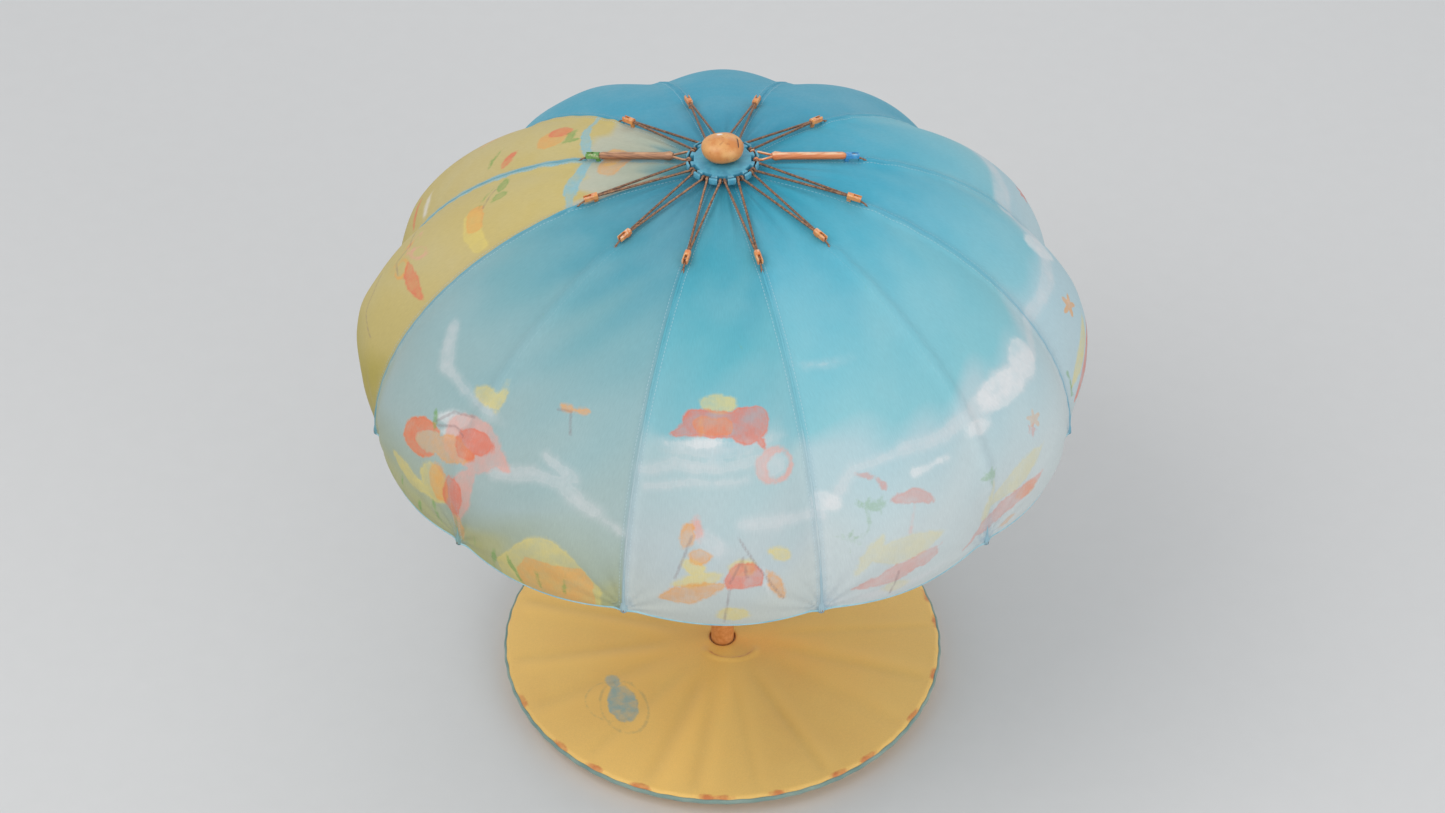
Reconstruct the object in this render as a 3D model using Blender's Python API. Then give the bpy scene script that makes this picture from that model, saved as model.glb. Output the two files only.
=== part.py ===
"""Children's umbrella: a lobed canopy under a folding wire frame, on a pole in a weighted round base.

Units are metres and +Z is up. The origin is the middle of the base's underside. Each rib unit is drawn
once in its own radial plane, with +X pointing outwards, and copied round the pole.
"""

import math

import bmesh
import bpy
from mathutils import Matrix, Vector

MM = 0.001
TURN = 2 * math.pi
GAP = 0.3 * MM

# Canopy: the circle of its tips, the dome above them and the pillow of each gore
RIB_COUNT = 12
FIRST_RIB_DEG = 15.0
THICK_RIBS = (1, 6)
TIP_RADIUS = 400 * MM
TIP_HEIGHT = 463 * MM
DOME_RISE = 290 * MM
DOME_SPREAD_POWER = 2.17
DOME_RISE_POWER = 0.532
FABRIC_THICKNESS = 1.2 * MM
CANOPY_HOLE = 11 * MM
GORE_BULGE_OUT = 41 * MM
GORE_BULGE_UP = 9 * MM
HEM_DRAW_IN = 0.9
HEM_SAG = 8 * MM
GORE_STEPS = 4
DOME_STEPS = 10

# Pivots: where each one stands in its rib's plane, with heights above the tips
CROWN_PIVOT = Vector((36 * MM, 0, 300 * MM))
ELBOW_PIVOT = Vector((150 * MM, 0, 279 * MM))
STRETCHER_DROP = 15 * MM
RUNNER_PIVOT = Vector((17 * MM, 0, 190 * MM))
HUB_SPLAY = 7.4 * MM

# V-shaped inner ribs: two wires from eyes on the crown to one clip, or a yoke and a stout rod
WIRE_RADIUS = 1.4 * MM
WIRE_SIDES = 6
ROD_RADIUS = 4.2 * MM
ROD_SIDES = 8
YOKE_LENGTH = 24 * MM
YOKE_SHANK = 7 * MM
EYE_RADIUS = 3.2 * MM
EYE_HOLE = 1.5 * MM
EYE_WIDTH = 2.6 * MM
EYE_SIDES = 8

# Outer ribs along the seams, with a bead at the hem
OUTER_ROD_RADIUS = 1.6 * MM
OUTER_ROD_LIFT = 3.6 * MM
OUTER_STEPS = 7
TIP_BEAD_RADIUS = 3.2 * MM

# Joint clip: a clevis on the end of each inner rib, with a lug down through the fabric's eyelet
CLIP_BACK = 10 * MM
CLIP_FRONT = 5.5 * MM
CLIP_WIDTH = 6.4 * MM
CLIP_HEIGHT = 7.0 * MM
CLIP_CORNER = 1.4 * MM
CLIP_SLOT = 3.0 * MM
CLIP_SLOT_BACK = 3.4 * MM
PIN_RADIUS = 0.8 * MM
PIN_HOLE = 1.1 * MM
TONGUE_WIDTH = 2.4 * MM
FACE_STEP = 0.05 * MM
TONGUE_RADIUS = 2.5 * MM
TONGUE_LENGTH = 9 * MM
LUG_BACK = 7.2 * MM
LUG_LENGTH = 4.5 * MM
EYELET_RADIUS = 4 * MM

# Stretchers: a flat pinned end under each clip and a flat end in the runner's slot
STRETCHER_END_WIDTH = 1.8 * MM
STRETCHER_END_RADIUS = 2.6 * MM
STRETCHER_FOOT_WIDTH = 2.8 * MM
STRETCHER_FOOT_RADIUS = 3 * MM

# Crown and runner: slotted discs on the pole
CROWN_HEIGHT = 8 * MM
CROWN_SLOT = 11.4 * MM
CROWN_SLOT_BACK = 4.8 * MM
CROWN_WALL = 3.5 * MM
TIE_WIRE_RADIUS = 0.7 * MM
TIE_GROOVE = 2.2 * MM
RUNNER_HEIGHT = 26 * MM
RUNNER_GRIP = 34 * MM
RUNNER_SLOT = 3.8 * MM
RUNNER_SLOT_BACK = 4.4 * MM
RUNNER_SLOT_RUN = 6 * MM
RUNNER_RIM = 21.5 * MM
RUNNER_SLEEVE = 14 * MM

# Pole and the parts along it
POLE_RADIUS = 9 * MM
POLE_WALL = 1.4 * MM
POLE_FOOT = 8 * MM
MAST_RADIUS = 5 * MM
MAST_TOP = TIP_HEIGHT + 322 * MM
KNOB_LENGTH = 47 * MM
KNOB_BREADTH = 40 * MM
KNOB_HALF_HEIGHT = 15 * MM
KNOB_LIFT = 13.5 * MM
KNOB_BORE_DEPTH = 20 * MM
RING_SECTION = 0.8 * MM
RING_LIFT = 12 * MM
WASHER_RADIUS = 20 * MM
WASHER_THICKNESS = 2 * MM

# Base: a weight in a fabric cover, with the pole's socket and its lock screw
WEIGHT_RADIUS = 260 * MM
WEIGHT_FOOT_RADIUS = 231 * MM
WEIGHT_HEIGHT = 24 * MM
WEIGHT_RIM_DROP = 4 * MM
WEIGHT_HOLE = 16 * MM
COVER_RADIUS = 269 * MM
COVER_FOOT_RADIUS = 240 * MM
COVER_SHOULDER = 7 * MM
COVER_TOP = 31 * MM
COVER_SKIN = 2 * MM
COVER_LIFT = 2 * MM
COVER_HOLE = 17 * MM
SOCKET_RADIUS = 14 * MM
SOCKET_TOP = 140 * MM
SOCKET_FLOOR = 4 * MM
FLANGE_RADIUS = 36 * MM
FLANGE_THICKNESS = 3.5 * MM
SCREW_HEIGHT = 112 * MM
SCREW_RADIUS = 3 * MM
SCREW_HANDLE_RADIUS = 13 * MM
SCREW_HANDLE_START = 20 * MM
SCREW_HANDLE_LENGTH = 13 * MM
SCREW_LOBES = 6
SCREW_LOBE_DEPTH = 0.1


def clear_scene():
    for ob in list(bpy.data.objects):
        bpy.data.objects.remove(ob, do_unlink=True)


def material(name, colour, roughness, metallic=0.0):
    """A Principled BSDF with the piece's colour as linear red, green and blue."""
    mat = bpy.data.materials.new(name)
    mat.use_nodes = True
    shader = mat.node_tree.nodes["Principled BSDF"]
    shader.inputs["Base Color"].default_value = (*colour, 1)
    shader.inputs["Roughness"].default_value = roughness
    shader.inputs["Metallic"].default_value = metallic
    return mat


def to_mesh(bm, name):
    """Closes the edit: faces turned outwards, round faces smooth."""
    bmesh.ops.recalc_face_normals(bm, faces=bm.faces)
    mesh = bpy.data.meshes.new(name)
    bm.to_mesh(mesh)
    bm.free()
    mesh.shade_smooth()
    mesh.set_sharp_from_angle(angle=math.radians(35))
    return mesh


def place(name, mesh, mat, location=(0, 0, 0), turn_z=0.0):
    """One named sub-part, with its own origin and turn about the pole."""
    ob = bpy.data.objects.new(name, mesh)
    bpy.context.scene.collection.objects.link(ob)
    ob.location = location
    ob.rotation_euler.z = turn_z
    if not mesh.materials:
        mesh.materials.append(mat)
    return ob


def combine(body, tools, operation):
    """The mesh left when each tool mesh is joined to, or cut from, the body mesh."""
    target = place("body", body, None)
    helpers = []
    for tool in tools:
        helper = place("tool", tool, None)
        cut = target.modifiers.new("boolean", "BOOLEAN")
        cut.operation = operation
        cut.solver = "EXACT"
        cut.object = helper
        helpers.append(helper)
    seen = target.evaluated_get(bpy.context.evaluated_depsgraph_get())
    result = bpy.data.meshes.new_from_object(seen)
    for ob in (target, *helpers):
        bpy.data.objects.remove(ob, do_unlink=True)
    result.materials.clear()
    result.shade_smooth()
    result.set_sharp_from_angle(angle=math.radians(35))
    return result


def lathe(profile, steps, name, centre=(0, 0, 0), axis=(0, 0, 1)):
    """Spins a closed outline of (radius, height) points about the axis through the centre."""
    bm = bmesh.new()
    verts = [bm.verts.new((r, 0, z)) for r, z in profile]
    edges = [bm.edges.new((a, b)) for a, b in zip(verts, verts[1:] + verts[:1])]
    around = {"cent": (0, 0, 0), "axis": (0, 0, 1), "angle": TURN}
    bmesh.ops.spin(bm, geom=verts + edges, steps=steps, use_merge=True, **around)
    bmesh.ops.remove_doubles(bm, verts=bm.verts, dist=0.001 * MM)
    turn = Vector((0, 0, 1)).rotation_difference(Vector(axis)).to_matrix().to_4x4()
    bmesh.ops.transform(bm, matrix=Matrix.Translation(centre) @ turn, verts=bm.verts)
    return to_mesh(bm, name)


def sweep(points, radii, sides, name):
    """A round bar with flat ends along the points, which lie near a plane that holds the Z axis."""
    bm = bmesh.new()
    rings = []
    for i, point in enumerate(points):
        along = (points[min(i + 1, len(points) - 1)] - points[max(i - 1, 0)]).normalized()
        side = (Vector((0, 1, 0)) - along * along.y).normalized()
        up = along.cross(side)
        angles = [TURN * k / sides for k in range(sides)]
        ring = [point + radii[i] * (math.cos(a) * side + math.sin(a) * up) for a in angles]
        rings.append([bm.verts.new(v) for v in ring])
    for ring, following in zip(rings, rings[1:]):
        for k in range(sides):
            after = (k + 1) % sides
            bm.faces.new((ring[k], ring[after], following[after], following[k]))
    bm.faces.new(rings[0])
    bm.faces.new(rings[-1])
    return to_mesh(bm, name)


def box(low, high, name, matrix=None):
    """A block between two corners, then turned and moved by the matrix."""
    bm = bmesh.new()
    bmesh.ops.create_cube(bm, size=1)
    low = Vector(low)
    high = Vector(high)
    size = Matrix.Diagonal((*(high - low), 1))
    bmesh.ops.transform(bm, matrix=Matrix.Translation((low + high) / 2) @ size, verts=bm.verts)
    if matrix:
        bmesh.ops.transform(bm, matrix=matrix, verts=bm.verts)
    return to_mesh(bm, name)


def eye(radius, hole, width, centre=(0, 0, 0)):
    """A flat ring whose hole runs along Y."""
    half = width / 2
    profile = [(radius, half), (radius, -half), (hole, -half), (hole, half)]
    return lathe(profile, EYE_SIDES, "eye", centre, (0, 1, 0))


def dome_height(radius):
    """Height of a seam above the floor at a distance from the pole."""
    spread = min(radius / TIP_RADIUS, 1.0) ** DOME_SPREAD_POWER
    return TIP_HEIGHT + DOME_RISE * (1 - spread) ** DOME_RISE_POWER


def dome_normal(radius):
    """The seam's outward direction, in its rib's plane."""
    step = 0.5 * MM
    inner = min(radius, TIP_RADIUS - 2 * step)
    slope = (dome_height(inner + step) - dome_height(inner - step)) / (2 * step)
    return Vector((-slope, 0, 1)).normalized()


def dome_radii(start, steps):
    """Distances from the pole that space a seam's points evenly along its curve."""
    first = math.asin((start / TIP_RADIUS) ** (DOME_SPREAD_POWER / 2))
    angles = [first + (math.pi / 2 - first) * k / steps for k in range(steps + 1)]
    return [TIP_RADIUS * math.sin(a) ** (2 / DOME_SPREAD_POWER) for a in angles]


def rib_turn(number):
    return math.radians(FIRST_RIB_DEG + 360 / RIB_COUNT * (number - 1))


def rib_point(number, pivot):
    """A point of the rib's plane, in the umbrella's own frame."""
    return Matrix.Rotation(rib_turn(number), 3, "Z") @ Vector((pivot.x, pivot.y, TIP_HEIGHT + pivot.z))


def clip_frame():
    """The clip's axes about the elbow pivot: X runs on along the rib, Y across it."""
    along = (ELBOW_PIVOT - CROWN_PIVOT).normalized()
    side = Vector((0, 1, 0))
    return Matrix((along, side, along.cross(side))).transposed().to_4x4()


def lug_pivot():
    """The stretcher's upper pivot, square under the clip and below the fabric, from the elbow pivot."""
    return clip_frame() @ Vector((-LUG_BACK, 0, -STRETCHER_DROP))


def canopy_point(turn, radius, lower):
    """A fabric point: the seam's dome, pillowed between two ribs; lower gives the inner skin."""
    gore = (math.degrees(turn) - FIRST_RIB_DEG) / (360 / RIB_COUNT)
    pillow = math.sin(math.pi * (gore % 1.0))
    reach = (radius / TIP_RADIUS) ** 2
    depth = 1 - (dome_height(radius) - TIP_HEIGHT) / DOME_RISE
    normal = dome_normal(radius)
    skin = FABRIC_THICKNESS if lower else 0.0
    along = math.asin((radius / TIP_RADIUS) ** (DOME_SPREAD_POWER / 2)) / (math.pi / 2)
    bulge = reach * (1 - HEM_DRAW_IN * along**6) * GORE_BULGE_OUT
    out = radius + pillow * bulge - normal.x * skin
    rise = pillow * (reach * (1 - depth) * GORE_BULGE_UP - depth**6 * HEM_SAG)
    height = dome_height(radius) + rise - normal.z * skin
    return Vector((out * math.cos(turn), out * math.sin(turn), height))


def canopy_mesh():
    """A closed skin of two layers, joined at the hem and the pole's hole, with an eyelet under each clip.

    Both layers are split along the same diagonals, so the wall between them stays even.
    """
    bm = bmesh.new()
    count = RIB_COUNT * GORE_STEPS
    turns = [math.radians(FIRST_RIB_DEG) + TURN * k / count for k in range(count)]
    radii = dome_radii(CANOPY_HOLE, DOME_STEPS)
    layers = []
    for lower in (False, True):
        layers.append([[bm.verts.new(canopy_point(t, r, lower)) for t in turns] for r in radii])
    loops = layers[0] + layers[1][::-1]
    for step, (ring, following) in enumerate(zip(loops, loops[1:] + loops[:1])):
        outside = step < len(radii)
        for k in range(count):
            after = (k + 1) % count
            corners = [ring[k], ring[after], following[after], following[k]]
            if (k % GORE_STEPS < GORE_STEPS / 2) != outside:
                corners = corners[1:] + corners[:1]
            bm.faces.new(corners[:3])
            bm.faces.new((corners[0], corners[2], corners[3]))
    holes = bmesh.new()
    lug = ELBOW_PIVOT + clip_frame() @ Vector((-LUG_BACK, 0, -STRETCHER_DROP / 2))
    outline = [(0, 6 * MM), (EYELET_RADIUS, 6 * MM), (EYELET_RADIUS, -6 * MM), (0, -6 * MM)]
    for number in range(1, RIB_COUNT + 1):
        upward = Matrix.Rotation(rib_turn(number), 3, "Z") @ (clip_frame().to_3x3() @ Vector((0, 0, 1)))
        holes.from_mesh(lathe(outline, EYE_SIDES, "eyelet", rib_point(number, lug), upward))
    return combine(to_mesh(bm, "canopy"), [to_mesh(holes, "eyelets")], "DIFFERENCE")


def wire_from_eye(path, stop_short):
    """A wire that starts in the wall of an eye at the path's first point and stops short of its last."""
    start = path[0] + (path[1] - path[0]).normalized() * (EYE_HOLE + EYE_RADIUS) / 2
    end = path[-1] - (path[-1] - path[-2]).normalized() * stop_short
    points = [start, *path[1:-1], end]
    return sweep(points, [WIRE_RADIUS] * len(points), WIRE_SIDES, "wire")


def thin_rib_mesh():
    """One bent wire: two eyes on the tie wire and two legs to the clip; origin on the crown pivot."""
    elbow = ELBOW_PIVOT - CROWN_PIVOT
    pieces = []
    for side in (-1, 1):
        hub = Vector((0, side * HUB_SPLAY, 0))
        pieces.append(eye(EYE_RADIUS, EYE_HOLE, EYE_WIDTH, hub))
        pieces.append(wire_from_eye([hub, elbow], CLIP_BACK + GAP))
    return combine(pieces[0], pieces[1:], "UNION")


def thick_rib_mesh():
    """A stout rod on a yoke, whose two legs end in eyes on the tie wire; origin on the crown pivot."""
    elbow = ELBOW_PIVOT - CROWN_PIVOT
    along = elbow.normalized()
    fork = along * YOKE_LENGTH
    rod_end = elbow.length - CLIP_BACK - GAP
    stations = [YOKE_LENGTH - 4 * MM, YOKE_LENGTH, YOKE_LENGTH + 8 * MM, rod_end - 3 * MM, rod_end]
    radii = [ROD_RADIUS * s for s in (0.8, 1.25, 1.0, 1.0, 0.75)]
    pieces = [sweep([along * s for s in stations], radii, ROD_SIDES, "rod")]
    for side in (-1, 1):
        hub = Vector((0, side * HUB_SPLAY, 0))
        pieces.append(eye(EYE_RADIUS, EYE_HOLE, EYE_WIDTH, hub))
        pieces.append(wire_from_eye([hub, hub + along * YOKE_SHANK, fork], 0))
    return combine(pieces[0], pieces[1:], "UNION")


def outer_rib_mesh():
    """A tongue for the clip, a rod along the seam and a bead at the hem; origin on the elbow pivot."""
    origin = Vector((ELBOW_PIVOT.x, 0, TIP_HEIGHT + ELBOW_PIVOT.z))
    path = []
    for radius in dome_radii(ELBOW_PIVOT.x + TONGUE_LENGTH, OUTER_STEPS):
        lift = dome_normal(radius) * OUTER_ROD_LIFT
        path.append(Vector((radius, 0, dome_height(radius))) + lift - origin)
    rod = sweep(path, [OUTER_ROD_RADIUS] * len(path), WIRE_SIDES, "rod")
    tongue = eye(TONGUE_RADIUS, PIN_HOLE, TONGUE_WIDTH)
    reach = path[0] + (path[1] - path[0]).normalized() * 2 * MM
    begin = path[0].normalized() * (PIN_HOLE + TONGUE_RADIUS) / 2
    neck = sweep([begin, reach], [TONGUE_WIDTH * 0.48] * 2, WIRE_SIDES, "neck")
    bm = bmesh.new()
    bmesh.ops.create_uvsphere(bm, u_segments=8, v_segments=5, radius=TIP_BEAD_RADIUS)
    bmesh.ops.translate(bm, verts=bm.verts, vec=path[-1])
    return combine(tongue, [neck, rod, to_mesh(bm, "bead")], "UNION")


def rod_across(radius, centre, reach_from, reach_to):
    """A solid pin along Y through the centre, between two offsets."""
    profile = [(0, reach_to), (radius, reach_to), (radius, reach_from), (0, reach_from)]
    return lathe(profile, EYE_SIDES, "pin", centre, (0, 1, 0))


def stretcher_mesh():
    """A pinned end beside the clip's lug, a wire and a flat foot for the runner; origin on the lug pivot."""
    beside = TONGUE_WIDTH / 2 + GAP + STRETCHER_END_WIDTH / 2
    top = Vector((0, beside, 0))
    foot = RUNNER_PIVOT - (ELBOW_PIVOT + lug_pivot())
    half = STRETCHER_END_WIDTH / 2
    end = rod_across(STRETCHER_END_RADIUS, (0, 0, 0), beside - half, beside + half)
    pin = rod_across(PIN_RADIUS, (0, 0, 0), -TONGUE_WIDTH / 2, beside)
    flat = rod_across(STRETCHER_FOOT_RADIUS, foot, -STRETCHER_FOOT_WIDTH / 2, STRETCHER_FOOT_WIDTH / 2)
    wire = sweep([top, foot], [WIRE_RADIUS * 0.6, WIRE_RADIUS * 0.95], WIRE_SIDES, "wire")
    return combine(end, [pin, flat, wire], "UNION")


def joint_clip_mesh():
    """A clevis for the outer rib's tongue, bored for the V's legs, with a lug for the stretcher."""
    frame = clip_frame()
    half_width = CLIP_WIDTH / 2
    half_height = CLIP_HEIGHT / 2
    low = (-CLIP_BACK, -half_width, -half_height)
    high = (CLIP_FRONT, half_width, half_height)
    bm = bmesh.new()
    bm.from_mesh(box(low, high, "block"))
    long_edges = [e for e in bm.edges if abs((e.verts[0].co - e.verts[1].co).x) > half_width]
    bmesh.ops.bevel(bm, geom=long_edges, offset=CLIP_CORNER, segments=1, affect="EDGES")
    bmesh.ops.transform(bm, matrix=frame, verts=bm.verts)
    slot_low = (-CLIP_SLOT_BACK, -CLIP_SLOT / 2, -CLIP_HEIGHT)
    slot_high = (2 * CLIP_FRONT, CLIP_SLOT / 2, CLIP_HEIGHT)
    body = combine(to_mesh(bm, "block"), [box(slot_low, slot_high, "slot", frame)], "DIFFERENCE")
    reach = half_width - 0.5 * MM
    pin = rod_across(PIN_RADIUS, (0, 0, 0), -reach, reach)
    lug_low = (-LUG_BACK - LUG_LENGTH / 2, -TONGUE_WIDTH / 2, -STRETCHER_DROP)
    lug_high = (-LUG_BACK + LUG_LENGTH / 2, TONGUE_WIDTH / 2, -half_height + CLIP_CORNER)
    lug = box(lug_low, lug_high, "lug", frame)
    lug_half = TONGUE_WIDTH / 2 - FACE_STEP
    lug_end = rod_across(STRETCHER_END_RADIUS, lug_pivot(), -lug_half, lug_half)
    solid = combine(body, [pin, lug, lug_end], "UNION")
    hole = rod_across(PIN_HOLE, lug_pivot(), -CLIP_WIDTH, CLIP_WIDTH)
    return combine(solid, [hole], "DIFFERENCE")


def slots(low, high, across, back, rim, first_turn):
    """Twelve radial blocks, ready to be cut from a hub."""
    bm = bmesh.new()
    for number in range(RIB_COUNT):
        turn = Matrix.Rotation(first_turn + TURN * number / RIB_COUNT, 4, "Z")
        near = (back, -across / 2, low - 2 * MM)
        far = (rim + 4 * MM, across / 2, high + 2 * MM)
        bm.from_mesh(box(near, far, "slot", turn))
    return to_mesh(bm, "slots")


def tie_circle():
    """Radius of the tie wire, which runs through eyes that stand beside their ribs' planes."""
    return math.hypot(CROWN_PIVOT.x, HUB_SPLAY)


def crown_mesh():
    """A disc over the fabric with twelve slots, each for two eyes, and a groove for the tie wire."""
    middle = TIP_HEIGHT + CROWN_PIVOT.z
    low = middle - CROWN_HEIGHT / 2
    high = middle + CROWN_HEIGHT / 2
    groove = tie_circle()
    rim = groove + CROWN_WALL
    floor = middle - TIE_GROOVE / 2
    profile = [
        (rim, low + 1 * MM),
        (rim, high - 1 * MM),
        (rim - 1 * MM, high),
        (groove + TIE_GROOVE / 2, high),
        (groove + TIE_GROOVE / 2, floor),
        (groove - TIE_GROOVE / 2, floor),
        (groove - TIE_GROOVE / 2, high),
        (MAST_RADIUS + GAP, high),
        (MAST_RADIUS + GAP, low),
        (rim - 1 * MM, low),
    ]
    between = math.radians(FIRST_RIB_DEG + 180 / RIB_COUNT)
    cutters = slots(low, high, CROWN_SLOT, CROWN_PIVOT.x - CROWN_SLOT_BACK, rim, between)
    return combine(lathe(profile, 48, "crown"), [cutters], "DIFFERENCE")


def crown_tie_wire_mesh():
    """A thin closed ring through the inner ribs' eyes."""
    angles = [TURN * k / 5 for k in range(5)]
    height = TIP_HEIGHT + CROWN_PIVOT.z
    radius = TIE_WIRE_RADIUS
    circle = [(tie_circle() + radius * math.cos(a), height + radius * math.sin(a)) for a in angles]
    return lathe(circle, 36, "crown_tie_wire")


def runner_mesh():
    """A sleeve on the pole with a grip below and a slotted collar for the stretchers' feet."""
    middle = TIP_HEIGHT + RUNNER_PIVOT.z
    high = middle + RUNNER_HEIGHT / 4
    low = high - RUNNER_HEIGHT / 2
    grip = low - RUNNER_GRIP
    bore = POLE_RADIUS + GAP
    groove = POLE_RADIUS + 2 * RING_SECTION + 2 * GAP
    profile = [
        (RUNNER_RIM, low + 1 * MM),
        (RUNNER_RIM, high - 1 * MM),
        (RUNNER_RIM - 1 * MM, high),
        (bore, high),
        (bore, ring_height() + RING_SECTION + GAP),
        (groove, ring_height() + RING_SECTION + GAP),
        (groove, ring_height() - RING_SECTION - GAP),
        (bore, ring_height() - RING_SECTION - GAP),
        (bore, grip),
        (RUNNER_SLEEVE + 2 * MM, grip),
        (RUNNER_SLEEVE + 2 * MM, grip + 4 * MM),
        (RUNNER_SLEEVE - 1 * MM, grip + 8 * MM),
        (RUNNER_SLEEVE - 1 * MM, low - 6 * MM),
        (RUNNER_RIM - 2 * MM, low),
    ]
    slot_back = RUNNER_PIVOT.x - RUNNER_SLOT_BACK
    cutters = slots(low - RUNNER_SLOT_RUN, high, RUNNER_SLOT, slot_back, RUNNER_RIM, rib_turn(1))
    return combine(lathe(profile, 24, "runner"), [cutters], "DIFFERENCE")


def pole_mesh():
    """A tube, open at its foot, with a shoulder under the crown and a thin mast above it."""
    shoulder = TIP_HEIGHT + CROWN_PIVOT.z - CROWN_HEIGHT / 2 - GAP
    inner = POLE_RADIUS - POLE_WALL
    profile = [
        (POLE_RADIUS, POLE_FOOT),
        (POLE_RADIUS, shoulder),
        (MAST_RADIUS, shoulder),
        (MAST_RADIUS, MAST_TOP),
        (0, MAST_TOP),
        (0, shoulder - 12 * MM),
        (inner, shoulder - 12 * MM),
        (inner, POLE_FOOT),
    ]
    return lathe(profile, 24, "pole")


def ring_height():
    """The friction ring sits in the lower part of the runner's grip."""
    return TIP_HEIGHT + RUNNER_PIVOT.z - RUNNER_HEIGHT / 4 - RUNNER_GRIP + RING_LIFT


def friction_ring_mesh():
    """A rubber ring in the runner's bore, whose grip on the pole holds the runner where it is left."""
    angles = [TURN * k / 6 for k in range(6)]
    centre = POLE_RADIUS + RING_SECTION + 0.1 * MM
    middle = ring_height()
    circle = [(centre + RING_SECTION * math.cos(a), middle + RING_SECTION * math.sin(a)) for a in angles]
    return lathe(circle, 24, "friction_ring")


def canopy_washer_mesh():
    """A flat washer on the pole, close under the fabric's hole."""
    high = dome_height(WASHER_RADIUS) - FABRIC_THICKNESS - 2 * GAP
    low = high - WASHER_THICKNESS
    inner = POLE_RADIUS + GAP
    profile = [(WASHER_RADIUS, low), (WASHER_RADIUS, high), (inner, high), (inner, low)]
    return lathe(profile, 24, "canopy_washer")


def top_knob_mesh():
    """An oval pebble with a flat underside, bored for the mast."""
    crown_top = TIP_HEIGHT + CROWN_PIVOT.z + CROWN_HEIGHT / 2
    bm = bmesh.new()
    bmesh.ops.create_uvsphere(bm, u_segments=24, v_segments=12, radius=1)
    scale = Matrix.Diagonal((KNOB_LENGTH / 2, KNOB_BREADTH / 2, KNOB_HALF_HEIGHT, 1))
    lift = Matrix.Translation((0, 0, crown_top + KNOB_LIFT))
    bmesh.ops.transform(bm, matrix=lift @ scale, verts=bm.verts)
    under_low = (-KNOB_LENGTH, -KNOB_LENGTH, crown_top - KNOB_LENGTH)
    under_high = (KNOB_LENGTH, KNOB_LENGTH, crown_top + GAP)
    ceiling = crown_top + KNOB_BORE_DEPTH
    guide = MAST_RADIUS + GAP
    profile = [(0, crown_top - 2 * MM), (guide, crown_top - 2 * MM), (guide, ceiling), (0, ceiling)]
    bore = lathe(profile, 16, "bore")
    return combine(to_mesh(bm, "top_knob"), [box(under_low, under_high, "below"), bore], "DIFFERENCE")


def base_weight_mesh():
    """A heavy dish that narrows to its foot, with a softened rim and a hole for the socket."""
    profile = [
        (WEIGHT_FOOT_RADIUS, 0),
        (WEIGHT_RADIUS, WEIGHT_HEIGHT - WEIGHT_RIM_DROP),
        (WEIGHT_RADIUS - WEIGHT_RIM_DROP, WEIGHT_HEIGHT),
        (WEIGHT_HOLE, WEIGHT_HEIGHT),
        (WEIGHT_HOLE, 0),
    ]
    return lathe(profile, 48, "base_weight")


def base_cover_mesh():
    """The fabric skin over the weight, drawn in under its rim to the foot."""
    side_skin = 2 * COVER_SKIN
    inner = COVER_RADIUS - side_skin
    profile = [
        (COVER_FOOT_RADIUS, COVER_LIFT),
        (COVER_RADIUS, COVER_TOP - COVER_SHOULDER),
        (COVER_RADIUS - 0.3 * COVER_SHOULDER, COVER_TOP - 0.3 * COVER_SHOULDER),
        (COVER_RADIUS - COVER_SHOULDER, COVER_TOP),
        (COVER_HOLE, COVER_TOP),
        (COVER_HOLE, COVER_TOP - COVER_SKIN),
        (inner - COVER_SHOULDER, COVER_TOP - COVER_SKIN),
        (inner, COVER_TOP - COVER_SKIN - COVER_SHOULDER),
        (COVER_FOOT_RADIUS - side_skin, COVER_LIFT),
    ]
    return lathe(profile, 48, "base_cover")


def pole_socket_mesh():
    """A flanged cup that stands through the weight, with a side hole for the lock screw."""
    bore = POLE_RADIUS + GAP
    flange_low = WEIGHT_HEIGHT + GAP
    flange_high = flange_low + FLANGE_THICKNESS
    profile = [
        (0, 1 * MM),
        (SOCKET_RADIUS, 1 * MM),
        (SOCKET_RADIUS, flange_low),
        (FLANGE_RADIUS, flange_low),
        (FLANGE_RADIUS, flange_high),
        (SOCKET_RADIUS, flange_high),
        (SOCKET_RADIUS, SOCKET_TOP),
        (bore + 0.5 * MM, SOCKET_TOP),
        (bore, SOCKET_TOP - 1 * MM),
        (bore, SOCKET_FLOOR),
        (0, SOCKET_FLOOR),
    ]
    reach = SOCKET_RADIUS * 1.5
    hole = SCREW_RADIUS + GAP
    outline = [(0, reach), (hole, reach), (hole, 0), (0, 0)]
    cutter = lathe(outline, 16, "hole", (0, 0, SCREW_HEIGHT), (0, -1, 0))
    return combine(lathe(profile, 24, "pole_socket"), [cutter], "DIFFERENCE")


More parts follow.
